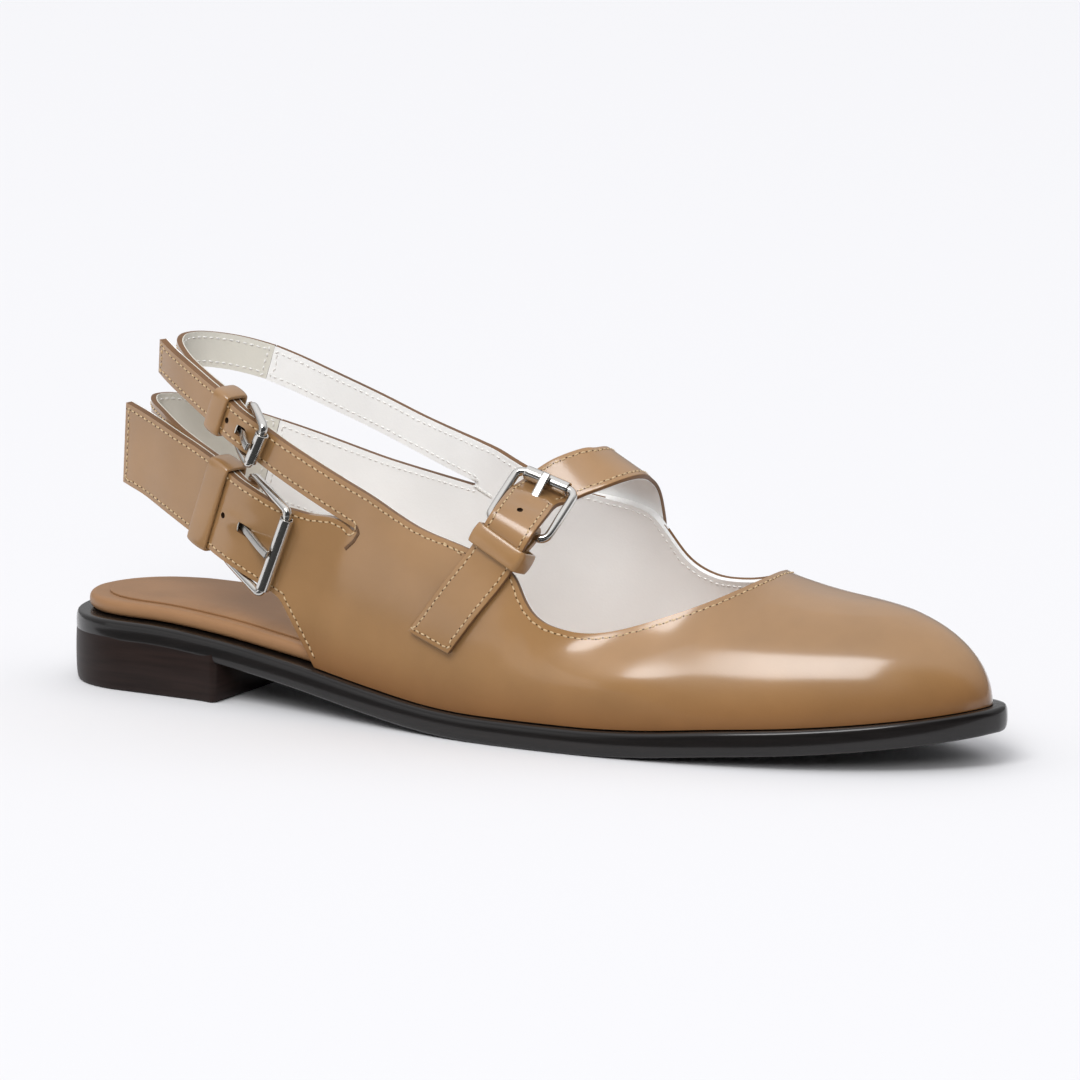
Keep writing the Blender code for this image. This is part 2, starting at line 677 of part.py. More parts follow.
def fold_path(outer_first):
    """The turn of a strap round the heel bar, in (distance, level), from its outer or inner face."""
    radius = WIRE + FOLD_GAP + STRAP_THICK / 2
    turns = [math.radians(a) for a in range(90, 271, 20)]
    arc = [(radius * math.cos(a), BAR_LEVEL + radius * math.sin(a)) for a in turns]
    return arc if outer_first else arc[::-1]


def build_heel_strap(name, line, buckle, half):
    """Strap from its fold round the buckle's bar, behind the heel, to the stub on the medial side."""
    under = -WALL - FOLD_GAP - STRAP_THICK / 2
    top = BAR_LEVEL + WIRE + FOLD_GAP + STRAP_THICK / 2
    fold = [(2.3, 2 * BAR_LEVEL - top + 0.1)] + fold_path(False)
    fold += [(3.0, top - 0.6), (6.0, under), (10, under)]
    stub = line.at_x(STUB_END_X, first_half=False)
    end = stub - GAP - buckle.bar_s
    level = monotone((10, end * 0.55, end - 6, end), (under, under, -WALL / 2, -WALL / 2))
    fold += [(d, float(level(d))) for d in np.linspace(10, end, 27)[1:]]
    sections = path_sections(line, buckle, fold, half, STRAP_THICK)
    return strip(name, sections[::-1], "tan leather")


def build_chape(line, buckle):
    """Folded tab on the edge of the lateral quarter that holds the instep buckle's bar."""
    top = BAR_LEVEL + WIRE + FOLD_GAP + STRAP_THICK / 2
    low = 2 * BAR_LEVEL - top
    path = [(8.4, -3.1), (6.2, -3.3), (3.0, low + 0.7)] + fold_path(True)[::-1] + [(3.0, top - 0.9)]
    half = INSTEP_W / 2 - CHAPE_NARROWER
    sections = path_sections(line, buckle, path, half, STRAP_THICK)
    return strip("buckle_chape", sections[::-1], "tan leather")


def build_instep_strap(line, buckle):
    """Strap from its rounded root on the medial quarter, over the instep and through the buckle."""
    heel_reach = monotone(STRAP_ROOT["z"], STRAP_ROOT["heel"])
    toe_reach = monotone(STRAP_ROOT["z"], STRAP_ROOT["toe"])
    past = (-buckle.length - 12, -buckle.length, -buckle.length * 0.45, 0, 8, 16)
    level = monotone(past, (0, 0, 1.0, OVER_BAR, 0.4, 0))
    stops = [0, 0.7, 1.8, 3.5, 5.5] + list(np.linspace(8, line.length, 46))
    sections = []
    for s in stops:
        point, along, across, out = line.frame(s)
        rooted = s < line.length * ROOTED
        heel = float(heel_reach(point[2])) if rooted else INSTEP_W / 2
        toe = float(toe_reach(point[2])) if rooted else INSTEP_W / 2
        rise = float(level(s - buckle.bar_s)) - INSTEP_THICK / 2
        slant = END_SLANT * min(max(1 - (line.length - s) / END_SLANT_RUN, 0.0), 1.0)
        sections.append((point + out * rise, across + along * slant, out, -toe, heel, INSTEP_THICK))
    strap = strip("instep_strap", sections, "tan leather")
    rooted = len([s for s in stops if s < line.length * ROOTED])
    seat_on_quarter(strap, range(rooted), MEDIAL)
    free = len([s for s in stops if s < buckle.bar_s + 8])
    seat_on_quarter(strap, range(free, len(stops)), LATERAL)
    return strap


def seat_on_quarter(strap, rings, side):
    """Lays sections of the instep strap on a quarter, a hair off its outer face."""
    size = 6
    free_height, settle = STRAP_LEAVES[side]
    for ring in rings:
        for k in range(size):
            vertex = strap.data.vertices[ring * size + k]
            x, z = vertex.co.x / MM + LENGTH / 2, vertex.co.z / MM
            away = GAP + (INSTEP_THICK if k < size // 2 else 0.0)
            seated = wall_y(x, z, side) + side * away * SEAT_SLOPE - MIDDLE_Y
            hold = min(max((free_height - z) / settle, 0.0), 1.0)
            vertex.co.y += (seated * MM - vertex.co.y) * hold


def build_keeper(name, line, buckle, half):
    """Leather loop round a strap and what it lies on."""
    start, end, low, high = KEEPER[name]
    point, along, across, out = line.frame(buckle.bar_s + (start + end) / 2)
    wide = half + KEEPER_PLAY - KEEPER_ROUND
    corners = (
        (wide, high - KEEPER_ROUND, 0),
        (-wide, high - KEEPER_ROUND, 90),
        (-wide, low + KEEPER_ROUND, 180),
        (wide, low + KEEPER_ROUND, 270),
    )
    reach = (end - start) / 2
    loops = []
    for d, grow in ((-reach, 0.0), (-reach, KEEPER_THICK), (reach, KEEPER_THICK), (reach, 0.0)):
        ring = []
        for corner_w, corner_n, turn in corners:
            for step in range(4):
                a = math.radians(turn + 30 * step)
                w = corner_w + (KEEPER_ROUND + grow) * math.cos(a)
                n = corner_n + (KEEPER_ROUND + grow) * math.sin(a)
                ring.append(point + along * d + across * w + out * n)
        loops.append(ring)
    count = len(loops[0])
    points = [p for ring in loops for p in ring]
    faces = []
    for loop in range(4):
        for k in range(count):
            a, b = loop * count + k, loop * count + (k + 1) % count
            after = (loop + 1) % 4 * count
            faces.append((a, after + k, after + (k + 1) % count, b))
    return new_object(f"keeper_{name}", points, faces, "tan leather")


def build():
    for old in list(bpy.data.objects):
        bpy.data.objects.remove(old, do_unlink=True)
    lines = {"upper": Line(UPPER_LINE), "lower": Line(LOWER_LINE), "instep": Line(INSTEP_LINE)}
    widths = {"upper": UPPER_STRAP_W, "lower": LOWER_STRAP_W, "instep": INSTEP_W}
    frames = {"upper": UPPER_FRAME, "lower": LOWER_FRAME, "instep": INSTEP_FRAME}
    buckles = {}
    for key, line in lines.items():
        roller_s = line.at_x(ROLLER_X[key], first_half=key != "instep")
        buckles[key] = Buckle(key, line, roller_s, frames[key], widths[key])
    build_sole()
    build_insole()
    upper = build_upper(lines, buckles)
    instep = build_instep_strap(lines["instep"], buckles["instep"])
    chape = build_chape(lines["instep"], buckles["instep"])
    straps = {"instep": (instep, chape)}
    for key in ("upper", "lower"):
        strap = build_heel_strap(f"heel_strap_{key}", lines[key], buckles[key], widths[key] / 2)
        straps[key] = (upper, strap)
    for key, buckle in buckles.items():
        buckle.build()
        cutter = buckle.build_prong(f"room_for_prong_{key}", PRONG_CLEAR)
        for piece in straps[key]:
            cutter_for(piece, cutter)
    for key, line in lines.items():
        build_keeper(key, line, buckles[key], widths[key] / 2)


build()
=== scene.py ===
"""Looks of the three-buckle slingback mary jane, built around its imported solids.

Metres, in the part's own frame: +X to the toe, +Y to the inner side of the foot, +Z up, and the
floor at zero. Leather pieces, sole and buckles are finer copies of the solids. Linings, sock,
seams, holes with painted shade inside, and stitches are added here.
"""
import math

import bpy
import numpy as np
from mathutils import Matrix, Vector
from mathutils.bvhtree import BVHTree


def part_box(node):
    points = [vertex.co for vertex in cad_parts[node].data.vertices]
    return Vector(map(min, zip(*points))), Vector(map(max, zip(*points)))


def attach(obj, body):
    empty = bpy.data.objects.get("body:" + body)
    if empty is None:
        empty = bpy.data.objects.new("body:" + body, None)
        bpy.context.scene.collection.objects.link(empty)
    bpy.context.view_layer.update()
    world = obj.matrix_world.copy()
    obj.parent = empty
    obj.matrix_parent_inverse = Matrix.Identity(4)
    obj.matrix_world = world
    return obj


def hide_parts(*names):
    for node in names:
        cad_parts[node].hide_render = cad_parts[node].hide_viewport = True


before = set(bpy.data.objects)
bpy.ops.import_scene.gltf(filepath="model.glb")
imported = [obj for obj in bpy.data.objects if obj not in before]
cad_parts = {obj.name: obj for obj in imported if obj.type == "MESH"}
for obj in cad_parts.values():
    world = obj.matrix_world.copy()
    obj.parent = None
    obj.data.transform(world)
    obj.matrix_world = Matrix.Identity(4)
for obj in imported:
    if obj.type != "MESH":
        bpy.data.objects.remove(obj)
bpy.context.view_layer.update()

MM = 0.001

# Camera: the photograph's own standpoint, aimed at the shoe and zoomed in on it
VIEW_AZIMUTH, VIEW_ELEVATION = 28.58, 9.89
VIEW_TARGET = Vector((128.6, -179.8, 125.4)) * MM
VIEW_DISTANCE = 2453.6 * MM
AIM_RIGHT, AIM_UP = -22.8 * MM, -36.5 * MM
SENSOR, PHOTO_LENS, ZOOM = 36.0, 214.8, 1.62
CAMERA_REACH = 100

# Stage: the floor, and a black card just over it that only reflections show
FLOOR_SIZE, FLOOR_ROUGH = 60.0, 0.75
CARD_SIZE, CARD_MIDDLE, CARD_ROUGH = (1.5, 1.6, 1.0), (0.55, -0.845, 0.002), 0.9

# Studio: lighter upwards, dim round one direction, and a plain backdrop for the camera
SKY_LOW, SKY_HIGH = (0.02, (0.22, 0.22, 0.22)), (0.85, (0.98, 0.98, 1.0))
DIM_TOWARDS, DIM_FROM, DIM_FULL = (0.60, -0.70, -0.35), 0.18, 0.48
DIM_COLOUR, BACKDROP = (0.05, 0.05, 0.052, 1), (0.93, 0.93, 0.945, 1)

# Lights: name, place, size, power, whether reflections show it, whether it lights surfaces
LIGHTS = (
    ("key", (1.5, -19.35, 22.9), (14.9, 12.2), 4250.0, True, True),
    ("fill", (11.0, -23.5, 14.5), (12.0, 9.0), 2350.0, False, True),
    ("side", (-18.0, -23.5, 4.5), (16.0, 8.0), 240.0, True, False),
    ("back", (-6.0, 22.5, 21.0), (20.0, 8.0), 300.0, False, True),
)
LIGHT_AIM = Vector((0.0, 0.0, 0.03))

# Narrow light that lifts the lining in the throat, set on the camera's line of sight
SNOOT_PLACE, THROAT_MIDDLE = Vector((0.7258, -1.2804, 0.3224)), Vector((0.0195, 0.012, 0.038))
SNOOT_ANGLE, SNOOT_POWER, SNOOT_BLEND, SNOOT_SOFT = 2.0, 26.0, 1.0, 0.02

COLOURS = {
    "tan": (0.322, 0.176, 0.070),
    "tan_dark": (0.190, 0.098, 0.044),
    "footbed": (0.325, 0.172, 0.080),
    "lining": (0.93, 0.93, 0.92),
    "instep_lining": (0.84, 0.84, 0.83),
    "strap_lining": (0.72, 0.70, 0.63),
    "sole": (0.0058, 0.0044, 0.0040),
    "heel": (0.0160, 0.0088, 0.0072),
    "thread": (0.64, 0.47, 0.27),
    "lining_thread": (0.90, 0.89, 0.86),
    "tack_thread": (0.16, 0.082, 0.036),
    "nickel": (0.70, 0.685, 0.655),
    # Painted shade: the prongs' nickel is darker than the frames'
    "prong": (0.46, 0.445, 0.42),
    # Painted shade: the dark inside punched holes and needle holes
    "hole": (0.035, 0.018, 0.009),
    "floor": (0.80, 0.80, 0.815),
    "card": (0.03, 0.03, 0.03),
}

# Surfaces: how fine each texture is, how strong and how deep its relief is
DYE_SCALE, DYE_DETAIL, DYE_ROUGH = 38.0, 4.0, 0.55
PORE_SCALE, PORE_DEEP = 1500.0, 0.12 * MM
DIMPLE_SCALE, DIMPLE_DETAIL, DIMPLE_STRENGTH, DIMPLE_DEEP = 120.0, 2.0, 0.05, 1.0 * MM
WEAR_SCALE, WEAR_RANGE = 90.0, 0.05
LEATHER_COAT_IOR, LEATHER_SPECULAR = 1.6, 0.2
STREAK_STRETCH, STREAK_SCALE = (0.12, 0.12, 1.6), 420.0
STREAK_SHADES, STREAK_STOPS = (0.75, 1.45), (0.3, 0.75)
STREAK_STRENGTH, STREAK_DEEP = 0.08, 0.2 * MM
WAX_SPECULAR = 0.15
HAZE_SCALE, HAZE_LESS, HAZE_MORE = 260.0, 0.03, 0.05
PLY_SCALE, PLY_DETAIL, PLY_STRENGTH, PLY_DEEP = 2600.0, 2.0, 0.3, 0.1 * MM
PLY_SHADES = (0.72, 1.12)
THREAD_ROUGH, THREAD_SHEEN = 0.6, 0.05

# Copies of the solids: merging, pairing of triangles, rounding of edges and smoothing
MERGE = 0.002 * MM
QUAD_BEND, QUAD_SKEW, QUAD_FLOW = 60, 120, 2.0
ROUND_ANGLE, ROUND_STEPS = 50, 2
SMOOTH_LEVELS = 2

# Thread: one stitch and the rows it makes
STITCH_PITCH, STITCH_LONG, STITCH_RADIUS = 1.8 * MM, 1.25 * MM, 0.2 * MM
STITCH_INSET, SECOND_ROW = 1.45 * MM, 3.3 * MM
STITCH_SIDES, STITCH_WIDE, STITCH_LEAN = 6, 1.15, 0.10
# Dark discs of painted shade in the needle holes
HOLE_RADIUS, HOLE_LONG, HOLE_SIDES, HOLE_LIFT = 0.19 * MM, 1.3, 6, 0.02 * MM
LONG_LOOP, ROW_BREAK, SEAM_REACH = 20, 3, 2.5 * MM
LINING_SEAM_LIFT = 0.6 * MM
SEAM_OVER_SOLE, LINING_SEAM_OVER_SOLE = 3.5 * MM, 8 * MM
TACK_PITCH, TACK_LONG = 0.36 * MM, 1.15 * MM

# Rings of one stitch: place along it, size, rise out of the leather
STITCH_RINGS = (
    (-0.5, 0.25, -0.9), (-0.38, 0.85, -0.15), (0.0, 1.0, 0.35),
    (0.38, 0.85, -0.15), (0.5, 0.25, -0.9),
)

# Short seams in mm: bar tacks where the two slits end, and the row at the collar's corner
SLIT_TACKS = (
    ((-36.7, -26.7, 51.3), (-36.0, -27.0, 49.5), (-37.4, -27.0, 47.3), (-40.0, -26.8, 45.0)),
    ((-25.6, 20.4, 55.9), (-24.9, 20.4, 54.1), (-26.2, 20.5, 51.9), (-28.9, 20.6, 49.6)),
)
LINING_TACK = ((-27.6, 18.4, 55.4), (-22.4, 18.6, 52.8))
COLLAR_CORNER = ((-10.2, -29.1, 50.1), (-3.9, -29.8, 47.3))

# Sole, heel and footbed
FLAT_STEEP, FLAT_AREA = 0.8, 12 * MM * MM
SOLE_SUPPORT, FOOTBED_SUPPORT = 1.6 * MM, 1.2 * MM
HEEL_UPPER_HALF, HEEL_OVERLAP, HEEL_SKIN = 4 * MM, 4 * MM, 0.07 * MM
CREASE_ANGLE, HEEL_CREASE = 50, 0.85
SOCK_FACING, SOCK_SHARE = 0.93, (0.964, 0.875, 1.0)
SOCK_MERGE, SOCK_CUTS = 0.6 * MM, 3
SOCK_LIFT, SOCK_THICK, SOCK_ROUND = 0.02 * MM, 0.5 * MM, 0.15 * MM

# Painted shade low on the upper, by the height over the sole, whose top is probed from above
LOW_SHADE, LOW_SHADE_RISE, LOW_SHADE_FADE = (0.68, 0.54, 0.40), 14 * MM, 1.3
PROBE_INWARD, PROBE_HEIGHT, SOLE_LEVEL = 0.9, 0.2, 0.012

# Leather
EDGE_ROUND = 0.35 * MM
LINING_THICK, STRAP_LINING_THICK = 0.3 * MM, 0.2 * MM
TONGUE_START, TONGUE_SIDE = -42 * MM, -15 * MM
STRAP_LINED = -12 * MM
STRAP_FOOT_SIDE, STRAP_FOOT_NEAR = 5 * MM, 1.6 * MM
SLIT_X, SLIT_Z = (-50 * MM, -33 * MM), (46 * MM, 55 * MM)
THROAT_BACK, LINING_TURN = 10 * MM, 0.9 * MM
SEWN_SIDE, SEWN_TOP = 20 * MM, 57 * MM
SMALL_ROUND, SMALL_SMOOTH, SMALL_PASSES = 0.3 * MM, 0.5, 14
KEEPER_CROWN = 0.3 * MM

# Seeds of the outer and inner skins
SKIN_ANGLE, SEED_FACING = 42, 0.75
VAMP_SEED_BACK, VAMP_SEED_SIDE, VAMP_SEED_RISE = 45 * MM, 5 * MM, 38 * MM
UPPER_STEP, STRAP_STEP = 2 * MM, 1.4 * MM
STRAP_SEED_DROP = {"upper": 8 * MM, "lower": 14 * MM}
CREST_HALF, CREST_STEP, CREST_FACING = 6 * MM, 1 * MM, Vector((0.2, 0, 1))

# Soft ridges and troughs in mm: place, way along, way out, half-length, half-width, height
SWELL_DEEP = 8.0
SWELLS = {
    "upper": (
        ((41.5, -33.6, 18.5), (1, 0.15, -0.1), (0.12, -0.95, 0.3), 15, 7, 1.45),
        ((58, -20, 36), (0.86, 0.46, 0.24), (0.25, -0.8, 0.54), 14, 9, -1.2),
        ((37, -29, 32), (0.95, 0.28, 0.1), (0.2, -0.9, 0.4), 14, 8, -2.8),
        ((5, -32, 30), (0.3, 0, 1), (0, -0.97, 0.2), 12, 7, 0.3),
        ((48, 30, 22), (1, -0.2, -0.1), (0.1, 0.9, 0.4), 14, 6, -0.3),
        ((-72.0, -27.0, 49.0), (0.9, -0.3, -0.2), (-0.45, -0.88, 0.1), 5, 2.5, 0.5),
        ((-72.5, -25.6, 73.4), (0.9, -0.3, -0.2), (-0.5, -0.85, 0.15), 4, 2.5, 0.4),
    ),
    "instep": (
        ((11.6, -18.6, 62.2), (0.208, 0.558, 0.803), (0.207, -0.828, 0.521), 2.7, 6.5, 2.2),
    ),
}

# Spare buckle holes: place in mm and outward direction
SPARE_HOLES = {
    "lower": ((-77.05, -25.81, 50.29), (-0.32, -0.947, 0.036)),
    "upper": ((-76.20, -25.12, 75.17), (-0.409, -0.908, 0.087)),
    "instep": ((10.70, -25.61, 59.67), (0.294, -0.393, 0.871)),
}
SPARE_RADIUS, SPARE_SIDES = 0.8 * MM, 24
SPARE_DEEP, SPARE_LIFT, SPARE_SMOOTH = 1.8 * MM, 0.2 * MM, 40

# Prong's slot in the solid instep strap: its walls stand square to the strap, and its floor faces
# the buckle
INSTEP_SLOT, SLOT_REACH, SLOT_FLOOR_REACH = Vector((11.2, -22.5, 60.5)) * MM, 5.6 * MM, 0.8
SLOT_WALL, SLOT_FLOOR, SLOT_SKIN = 0.5, 0.985, 0.92

# Buckles: which way each faces, and how far its prong dips
BUCKLE_OUT = {
    "instep": (0.207, -0.828, 0.521),
    "upper": (-0.755, -0.573, 0.320),
    "lower": (-0.562, -0.810, 0.168),
}
PRONG_DIP = {"instep": 1.8 * MM, "upper": 0.4 * MM, "lower": 0.5 * MM}
PRONG_CURVE = 1.3
WIRE_FATTER, ROLLER_ROUND, PRONG_ROUND = 0.2 * MM, 0.16 * MM, 0.3 * MM


# Editing of pieces

def only(piece):
    """Makes a piece the single selected and active object."""
    bpy.ops.object.select_all(action="DESELECT")
    piece.select_set(True)
    bpy.context.view_layer.objects.active = piece


def edit(piece, mode="FACE"):
    """Goes into edit mode on a piece with all of it selected."""
    only(piece)
    bpy.ops.object.mode_set(mode="EDIT")
    bpy.ops.mesh.select_mode(type=mode)
    bpy.ops.mesh.select_all(action="SELECT")


def done():
    bpy.ops.object.mode_set(mode="OBJECT")


def pick(piece, wanted):
    """Goes into edit mode on a piece with only the wanted faces selected."""
    edit(piece)
    bpy.ops.mesh.select_all(action="DESELECT")
    done()
    for polygon in piece.data.polygons:
        polygon.select = bool(wanted(polygon))
    bpy.ops.object.mode_set(mode="EDIT")


def merge(piece):
    """Goes into edit mode on a solid's copy and joins its loose facets."""
    edit(piece)
    bpy.ops.mesh.customdata_custom_splitnormals_clear()
    bpy.ops.mesh.remove_doubles(threshold=MERGE)


def to_quads():
    bpy.ops.mesh.tris_convert_to_quads(
        face_threshold=math.radians(QUAD_BEND), shape_threshold=math.radians(QUAD_SKEW),
        topology_influence=QUAD_FLOW,
    )


def fatten(piece, amount):
    edit(piece)
    bpy.ops.transform.shrink_fatten(value=amount)
    done()


def face_out(piece):
    edit(piece)
    bpy.ops.mesh.normals_make_consistent(inside=False)
    done()


def finish_with(piece, kind, **settings):
    """Adds a modifier with these settings and applies it."""
    only(piece)
    modifier = piece.modifiers.new(kind.lower(), kind)
    for name, value in settings.items():
        setattr(modifier, name, value)
    bpy.ops.object.modifier_apply(modifier=modifier.name)


def smooth(piece):
    finish_with(piece, "SUBSURF", levels=SMOOTH_LEVELS, render_levels=SMOOTH_LEVELS)
    piece.data.shade_smooth()


def round_edges(piece, width):
    finish_with(
        piece, "BEVEL", width=width, segments=ROUND_STEPS, limit_method="ANGLE",
        angle_limit=math.radians(ROUND_ANGLE), miter_outer="MITER_SHARP",
    )


def new_piece(name, mesh, look):
    piece = bpy.data.objects.new(name, mesh)
    bpy.context.scene.collection.objects.link(piece)
    mesh.materials.clear()
    mesh.materials.append(look)
    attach(piece, "root")
    return piece


def one_look(piece):
    """Gives every face of a piece its first material."""
    polygons = piece.data.polygons
    polygons.foreach_set("material_index", [0] * len(polygons))


def copy_of(node, name, look):
    """A piece of its own from a solid, merged into one skin of quads, that stands for the solid."""
    piece = new_piece(name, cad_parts[node].data.copy(), look)
    merge(piece)
    to_quads()
    done()
    one_look(piece)
    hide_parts(node)
    return piece


def coordinates(mesh):
    flat = np.zeros(len(mesh.vertices) * 3)
    mesh.vertices.foreach_get("co", flat)
    return flat.reshape(-1, 3)


def move_to(mesh, points):
    mesh.vertices.foreach_set("co", points.ravel())
    mesh.update()


def skin_of(piece):
    """A search tree of a piece's faces."""
    mesh = piece.data
    return BVHTree.FromPolygons([v.co for v in mesh.vertices], [p.vertices for p in mesh.polygons])


# Materials

def shader_of(name, colour, rough, metal=0.0):
    made = bpy.data.materials.new(name)
    made.use_nodes = True
    nodes = made.node_tree.nodes
    shader = nodes["Principled BSDF"]
    shader.inputs["Base Color"].default_value = (*colour, 1)
    shader.inputs["Roughness"].default_value = rough
    shader.inputs["Metallic"].default_value = metal
    return made, nodes, made.node_tree.links, shader


def noise(nodes, links, place, scale, detail=3.0, rough=0.5):
    made = nodes.new("ShaderNodeTexNoise")
    made.inputs["Scale"].default_value = scale
    made.inputs["Detail"].default_value = detail
    made.inputs["Roughness"].default_value = rough
    links.new(place, made.inputs["Vector"])
    return made


def ramp(nodes, links, source, stops):
    """A colour ramp over a texture's value: stops of (place, colour)."""
    made = nodes.new("ShaderNodeValToRGB")
    for element, (place, colour) in zip(made.color_ramp.elements, stops):
        element.position = place
        element.color = (*colour, 1)
    links.new(source, made.inputs["Fac"])
    return made


def mottle(nodes, links, source, colour, factors, stops=(0.3, 0.7)):
    """A colour that wanders with a texture between two shades of itself."""
    shades = [tuple(c * factor for c in colour) for factor in factors]
    return ramp(nodes, links, source, list(zip(stops, shades)))


def bump(nodes, links, height, strength, distance, below=None):
    made = nodes.new("ShaderNodeBump")
    made.inputs["Strength"].default_value = strength
    made.inputs["Distance"].default_value = distance
    links.new(height, made.inputs["Height"])
    if below:
        links.new(below.outputs["Normal"], made.inputs["Normal"])
    return made


def uneven_gloss(nodes, links, shader, source, least, most):
    """A roughness that wanders with a texture."""
    gloss = nodes.new("ShaderNodeMapRange")
    gloss.inputs["To Min"].default_value = least
    gloss.inputs["To Max"].default_value = most
    links.new(source, gloss.inputs["Value"])
    links.new(gloss.outputs["Result"], shader.inputs["Roughness"])


def leather(name, colour, rough, coat, coat_rough, pores=0.10, cloud=0.10):
    """Smooth box leather: cloudy dye, painted shade low down, fine pores and a polished coat."""
    made, nodes, links, shader = shader_of(name, colour, rough)
    place = nodes.new("ShaderNodeTexCoord").outputs["Object"]
    clouds = noise(nodes, links, place, DYE_SCALE, DYE_DETAIL, DYE_ROUGH)
    dye = mottle(nodes, links, clouds.outputs["Fac"], colour, (1 - cloud, 1 + cloud))
    # Painted shade: the dye is darker where the piece carries the low shade attribute
    shaded = nodes.new("ShaderNodeAttribute")
    shaded.attribute_name = "painted_low_shade"
    deep = nodes.new("ShaderNodeMix")
    deep.data_type, deep.blend_type = "RGBA", "MULTIPLY"
    deep.inputs["B"].default_value = (*LOW_SHADE, 1)
    links.new(shaded.outputs["Fac"], deep.inputs["Factor"])
    links.new(dye.outputs["Color"], deep.inputs["A"])
    links.new(deep.outputs["Result"], shader.inputs["Base Color"])
    grain = nodes.new("ShaderNodeTexVoronoi")
    grain.inputs["Scale"].default_value = PORE_SCALE
    links.new(place, grain.inputs["Vector"])
    fine = bump(nodes, links, grain.outputs["Distance"], pores, PORE_DEEP)
    dimples = noise(nodes, links, place, DIMPLE_SCALE, DIMPLE_DETAIL)
    soft = bump(nodes, links, dimples.outputs["Fac"], DIMPLE_STRENGTH, DIMPLE_DEEP, fine)
    links.new(soft.outputs["Normal"], shader.inputs["Normal"])
    wear = noise(nodes, links, place, WEAR_SCALE)
    uneven_gloss(nodes, links, shader, wear.outputs["Fac"], rough - WEAR_RANGE, rough + WEAR_RANGE)
    shader.inputs["Coat Weight"].default_value = coat
    shader.inputs["Coat Roughness"].default_value = coat_rough
    shader.inputs["Coat IOR"].default_value = LEATHER_COAT_IOR
    shader.inputs["Specular IOR Level"].default_value = LEATHER_SPECULAR
    return made


def dressed_edge(name, colour, rough, coat, coat_rough):
    """Waxed sole edge: near black, with faint lengthwise streaks from the trimming wheel."""
    made, nodes, links, shader = shader_of(name, colour, rough)
    stretch = nodes.new("ShaderNodeMapping")
    stretch.inputs["Scale"].default_value = STREAK_STRETCH
    place = nodes.new("ShaderNodeTexCoord").outputs["Object"]
    links.new(place, stretch.inputs["Vector"])
    streaks = noise(nodes, links, stretch.outputs["Vector"], STREAK_SCALE)
    tint = mottle(nodes, links, streaks.outputs["Fac"], colour, STREAK_SHADES, STREAK_STOPS)
    links.new(tint.outputs["Color"], shader.inputs["Base Color"])
    relief = bump(nodes, links, streaks.outputs["Fac"], STREAK_STRENGTH, STREAK_DEEP)
    links.new(relief.outputs["Normal"], shader.inputs["Normal"])
    shader.inputs["Coat Weight"].default_value = coat
    shader.inputs["Coat Roughness"].default_value = coat_rough
    shader.inputs["Specular IOR Level"].default_value = WAX_SPECULAR
    return made


def plated(name, colour, rough):
    """Polished plating with the faint cloud that handling leaves."""
    made, nodes, links, shader = shader_of(name, colour, rough, 1.0)
    place = nodes.new("ShaderNodeTexCoord").outputs["Object"]
    haze = noise(nodes, links, place, HAZE_SCALE)
    uneven_gloss(nodes, links, shader, haze.outputs["Fac"], rough - HAZE_LESS, rough + HAZE_MORE)
    return made


def twisted_thread(name, colour):
    """Waxed thread with the unevenness of its plies."""
    made, nodes, links, shader = shader_of(name, colour, THREAD_ROUGH)
    place = nodes.new("ShaderNodeTexCoord").outputs["Object"]
    plies = noise(nodes, links, place, PLY_SCALE, PLY_DETAIL)
    tint = mottle(nodes, links, plies.outputs["Fac"], colour, PLY_SHADES)
    links.new(tint.outputs["Color"], shader.inputs["Base Color"])
    relief = bump(nodes, links, plies.outputs["Fac"], PLY_STRENGTH, PLY_DEEP)
    links.new(relief.outputs["Normal"], shader.inputs["Normal"])
    shader.inputs["Sheen Weight"].default_value = THREAD_SHEEN
    return made


TAN = leather("polished tan leather", COLOURS["tan"], rough=0.42, coat=1.0, coat_rough=0.16)
FOOTBED = leather(
    "tan footbed leather", COLOURS["footbed"], rough=0.46, coat=0.15, coat_rough=0.3, pores=0.14,
)
UNCOATED = {"rough": 0.55, "coat": 0.0, "coat_rough": 0.3, "pores": 0.16}
LINING = leather("white lining leather", COLOURS["lining"], cloud=0.03, **UNCOATED)
INSTEP_LINING = leather("white strap lining", COLOURS["instep_lining"], cloud=0.03, **UNCOATED)
STRAP_LINING = leather("greige strap lining", COLOURS["strap_lining"], cloud=0.05, **UNCOATED)
SOLE = dressed_edge("waxed sole edge", COLOURS["sole"], rough=0.45, coat=0.8, coat_rough=0.14)
HEEL = dressed_edge("waxed heel block", COLOURS["heel"], rough=0.48, coat=0.1, coat_rough=0.22)
NICKEL = plated("polished nickel", COLOURS["nickel"], rough=0.13)
# Painted shade: the prongs in a darker nickel than frame and roller
PRONG_SHADED = plated("nickel with painted shade", COLOURS["prong"], rough=0.2)
THREAD = twisted_thread("waxed tan thread", COLOURS["thread"])
LINING_THREAD = twisted_thread("pale lining thread", COLOURS["lining_thread"])
TACK_THREAD = twisted_thread("dark tack thread", COLOURS["tack_thread"])
EDGE = leather(
    "painted leather edge", COLOURS["tan_dark"], rough=0.55, coat=0.1, coat_rough=0.3,
    pores=0.25, cloud=0.2,
)
# Painted shade for the insides of the punched and needle holes
HOLE_SHADE = leather("painted shade inside holes", COLOURS["hole"], rough=0.8, coat=0.0, coat_rough=0.3)

# Skins of a leather piece, each with its material: outer side, inner side, cut edge, the inside
# of a punched hole in painted shade, and a cut edge that the lining turns over
OUTER, INNER, CUT, PUNCHED, PALE = range(5)
LEATHER_LOOKS = (TAN, TAN, EDGE, HOLE_SHADE, LINING)


# Skins and seams

